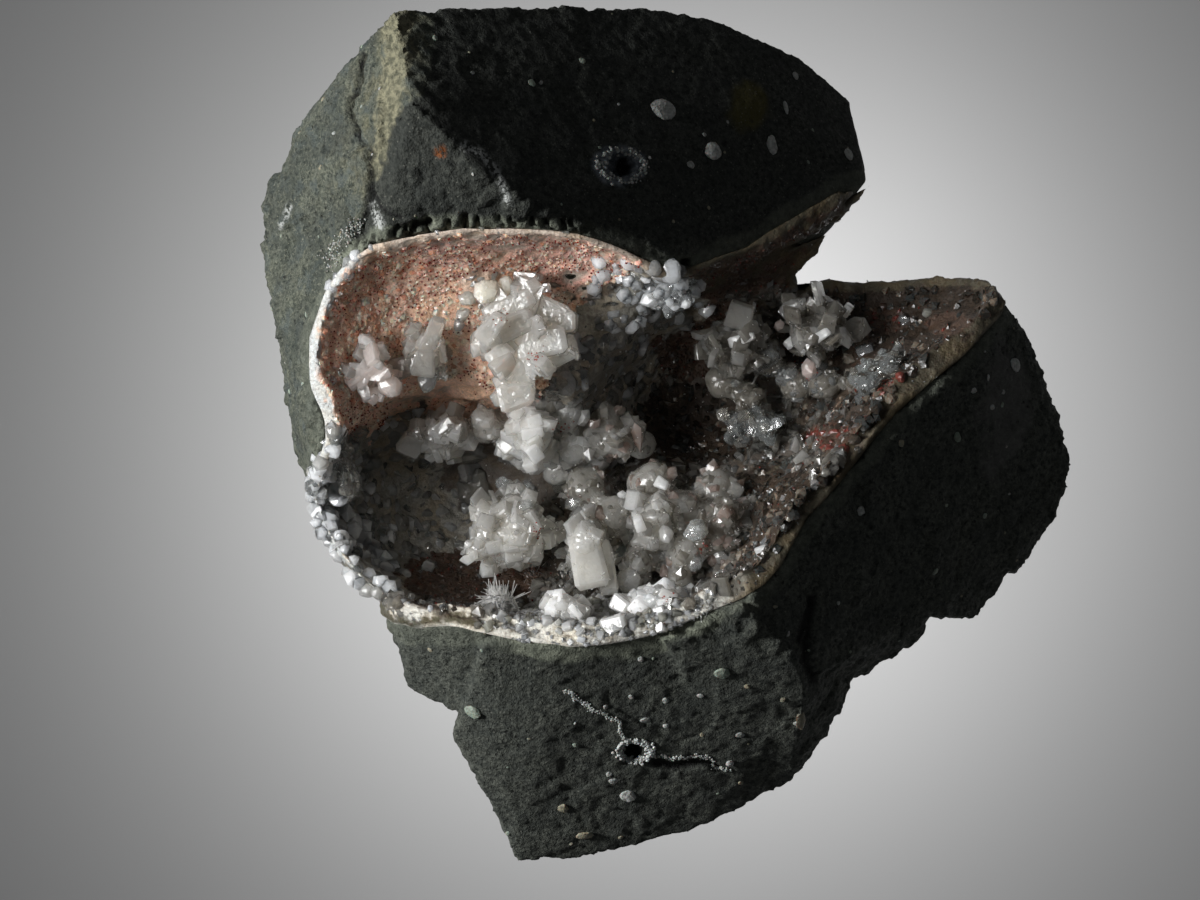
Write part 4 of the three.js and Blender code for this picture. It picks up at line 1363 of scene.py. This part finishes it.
def crystal_masses():
    """All groups and bridges, each a mass of its own."""
    made = []
    for number, (node, (*recipe, slot)) in enumerate(GROUPS.items()):
        root = copy_of(node, node + "_root")
        piece = crystal_mass(root, node, node + "_crystals", *recipe, SEED + 10 + number)
        keep(piece, CLEAR if slot == "clear_crystal" else MILKY, slot, node)
        made.append(piece)
    for number, (name, (shape, *recipe, slot)) in enumerate(BRIDGES.items()):
        piece = crystal_mass(balls(name + "_root", shape), None, name, *recipe, SEED + 50 + number)
        keep(piece, CLEAR if slot == "clear_crystal" else MILKY, slot)
        made.append(piece)
    return made


# ---------------------------------------------------------------- amygdules and the vein

CHALK = (0.50, 0.51, 0.49, 0.0)
MINT = (0.30, 0.36, 0.29, 0.0)
TAN = (0.30, 0.27, 0.18, 0.0)
VEIN_WHITE = (0.6, 0.6, 0.57, 0.0)
BRIGHT_RING = (0.72, 0.72, 0.70, 0.0)
# filled bubbles: plan place, half width, half depth, colour
AMYGDULES = [
    ((-1.6, 48.0), 1.9, 1.5, CHALK), ((5.8, 42.0), 1.3, 1.5, CHALK), ((14.8, 43.4), 0.9, 1.35, CHALK),
    ((17.0, 49.2), 0.4, 1.05, CHALK), ((26.6, 42.5), 0.75, 0.9, CHALK), ((2.5, 39.9), 0.6, 0.6, CHALK),
    ((-20.7, 51.2), 0.6, 0.6, MINT), ((18.6, 54.3), 0.5, 0.6, CHALK), ((4.6, 44.5), 0.3, 0.3, CHALK),
    ((51.9, 10.9), 0.9, 1.05, CHALK), ((47.5, 8.9), 0.5, 0.5, CHALK), ((50.0, 6.8), 0.4, 0.4, CHALK),
    ((45.1, 7.0), 0.6, 0.45, CHALK), ((48.2, 4.5), 0.45, 0.45, CHALK), ((42.7, 0.0), 0.6, 0.75, MINT),
    ((27.8, -11.0), 0.7, 0.7, CHALK), ((-6.6, -53.6), 1.2, 0.9, CHALK), ((-8.8, -51.2), 0.7, 0.5, CHALK),
    ((-4.0, -41.8), 0.9, 0.6, CHALK), ((10.0, -44.2), 0.7, 0.5, CHALK), ((7.1, -34.6), 1.2, 1.0, MINT),
    ((4.0, -38.1), 0.5, 0.4, CHALK), ((18.9, -42.0), 0.9, 1.5, TAN), ((-13.0, -59.7), 1.3, 0.9, TAN),
    ((-29.5, -40.5), 1.3, 1.0, MINT), ((-4.8, -32.5), 0.45, 0.45, CHALK),
    ((-6.2, -38.2), 0.4, 0.4, CHALK), ((-16.3, -55.4), 0.8, 0.8, TAN), ((8.6, -48.6), 0.6, 0.7, CHALK),
]
# veins of fine grains: line on the plan, half width, how many grains
VEINS = [
    ([(-15.9, -37.1), (-13, -39.1), (-10, -40.8), (-8.2, -42.1), (-7.1, -44.1), (-5.4, -45.6)], 0.16, 420),
    ([(-50.3, 24.6), (-48.6, 28.2), (-45.6, 30.9)], 0.7, 170),
    ([(-3, -47.4), (-0.3, -48.0), (2.9, -47.5), (5.3, -47.3), (6.4, -49.4), (8.7, -49.7)], 0.16, 260),
]
# grains around the open bubbles: plan place, reach, width, how many, colour
VUG_RIMS = [((-7.6, 39.4), 2.7, 0.9, 150, CHALK), ((-5.6, -46.6), 1.9, 0.6, 260, BRIGHT_RING)]
STRAY_AMYGDULES = 160


def on_rock(rock, x, y):
    """The place and normal on the rock under a plan point."""
    place, out, _, _ = rock.ray_cast(Vector((x, y, 200)), Vector((0, 0, -1)))
    return place, out


def rock_grain_at(rock, x, y, sizes, colour, draw):
    """One mineral grain on the rock's surface under a plan place."""
    place, out = on_rock(rock, x, y)
    form = draw.choice(CHUNKS)
    return form, stand(place, out, draw.uniform(*sizes), 0.5, draw), tinted(colour, draw, 0.3)


def amygdules(rock, lump, bare):
    """The filled bubbles, the grains around the open ones and the veins."""
    draw = random.Random(SEED + 1)
    filled = []
    for (x, y), half, deep, colour in AMYGDULES:
        place, out = on_rock(rock, x, y)
        shape = (2.3 * half, 2.3 * deep, 0.9 * min(half, deep))
        turn = Vector((0, 0, 1)).rotation_difference(out).to_matrix()
        matrix = np.array(turn @ Matrix.Diagonal(shape), float)
        filled.append((draw.choice(BEADS), (np.array(place - out * 0.12 * shape[2]), matrix), colour))
    allowed = bare & (places(lump.data)[:, 2] > 1.5)
    for place, out in spread_out(lump.data, allowed, lambda place: 5.0, 2 * STRAY_AMYGDULES, draw):
        size = draw.choice((0.5, 0.6, 0.8, 1.2))
        squash = (draw.uniform(0.7, 1.2), draw.uniform(0.7, 1.2), 0.5)
        filled.append((draw.choice(BEADS), stand(place - out * 0.15 * size, out, size, 0.1, draw, squash),
                       draw.choice((CHALK, MINT, TAN))))
    for (x, y), ring, wide, count, colour in VUG_RIMS:
        for _ in range(count):
            bearing = draw.uniform(0, math.tau)
            reach = ring + draw.gauss(0, 0.4) * wide
            x1, y1 = x + 1.2 * reach * math.cos(bearing), y + 0.85 * reach * math.sin(bearing)
            filled.append(rock_grain_at(rock, x1, y1, (0.3, 0.75), colour, draw))
    for line, half, count in VEINS:
        lengths = [math.dist(a, b) for a, b in zip(line, line[1:])]
        for _ in range(count):
            step = draw.choices(range(len(lengths)), lengths)[0]
            share = draw.random()
            x, y = (a + share * (b - a) for a, b in zip(line[step], line[step + 1]))
            wander = 0.5 * noise.noise(Vector((x, y, 0)) / 1.3)
            x1, y1 = x + draw.gauss(0, half) + wander, y + draw.gauss(0, half) + wander
            filled.append(rock_grain_at(rock, x1, y1, (0.2, 0.4), VEIN_WHITE, draw))
    keep(grow("filled_bubbles_and_vein", filled), amygdule_finish(), "crust")


# ---------------------------------------------------------------- studio

CAMERA_PLACE = (-10.75, -1.95, 740.0)
CAMERA_LENS = 140.0
WORLD_LIGHT = 0.07
AIM_HEIGHT = 0.04  # metres above the floor, where the lamps point
# bearing and height of the lamp in degrees, its distance and size in millimetres, power
LAMPS = {
    "key_light": (172, 27, 900, 140, 12.0),
    "crystal_light": (172, 30, 900, 140, 5.0),
    "cavity_light": (180, 50, 900, 450, 10.0),
    "floor_light": (0, 90, 1500, 1200, 1.8),
    "floor_glow": (0, 90, 35, 60, 0.13),
}


def studio():
    """The floor, the camera, the world and the lamps."""
    floor = basic("plane", size=FLOOR_SIZE * MM, location=(0, 0, 0))
    floor.name = "studio_floor"
    floor.data.materials.append(floor_finish())
    floor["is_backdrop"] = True
    camera = bpy.data.objects.new("camera", bpy.data.cameras.new("camera"))
    bpy.context.scene.collection.objects.link(camera)
    camera.location = Vector(CAMERA_PLACE) * MM
    camera.data.lens = CAMERA_LENS
    camera.data.clip_end = 20
    bpy.context.scene.camera = camera
    world = bpy.data.worlds.new("studio")
    world.use_nodes = True
    background = world.node_tree.nodes["Background"]
    background.inputs["Color"].default_value = (0.95, 0.97, 1.0, 1)
    background.inputs["Strength"].default_value = WORLD_LIGHT
    bpy.context.scene.world = world
    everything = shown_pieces()
    lining = [piece for piece in everything if not piece.name.startswith(("basalt", "filled"))]
    rock = [piece for piece in everything if piece not in lining]
    lamp("key_light", rock)
    lamp("crystal_light", lining)
    lamp("cavity_light", lining)
    lamp("floor_light", [floor])
    glow = lamp("floor_glow", [floor])
    glow.light_linking.blocker_collection = glow.light_linking.receiver_collection
    bpy.context.scene.view_settings.view_transform = "Standard"


def lamp(name, lit):
    """A soft square light aimed at the lump, which lights the pieces it is given."""
    bearing, height, distance, size, power = LAMPS[name]
    light = bpy.data.lights.new(name, "AREA")
    light.energy = power
    light.size = size * MM
    holder = bpy.data.objects.new(name, light)
    bpy.context.scene.collection.objects.link(holder)
    away = heading(bearing, height)
    holder.location = away * distance * MM + Vector((0, 0, AIM_HEIGHT))
    holder.rotation_mode = "QUATERNION"
    holder.rotation_quaternion = away.to_track_quat("Z", "Y")
    holder.visible_camera = False
    served = bpy.data.collections.new(name + "_serves")
    for piece in lit:
        served.objects.link(piece)
    holder.light_linking.receiver_collection = served
    return holder


# ---------------------------------------------------------------- making

MILKY = milky_finish()
CLEAR = clear_finish()
GRAINY = grainy_finish()
crust_shape = copy_of("cavity_crust", "crust_shape")
rock_shape = copy_of("basalt_matrix", "rock_shape")
lump, lump_away = basalt_lump(tree_of(crust_shape))
lining, lining_inner, lining_rim = cavity_crust(tree_of(rock_shape))
for shape in (crust_shape, rock_shape):
    bpy.data.objects.remove(shape)
druse(lining, lining_inner)
rim_crystals(lining, lining_rim)
accents(tree_of(lining, *crystal_masses()))
amygdules(tree_of(lump), lump, lump_away > 2)
studio()
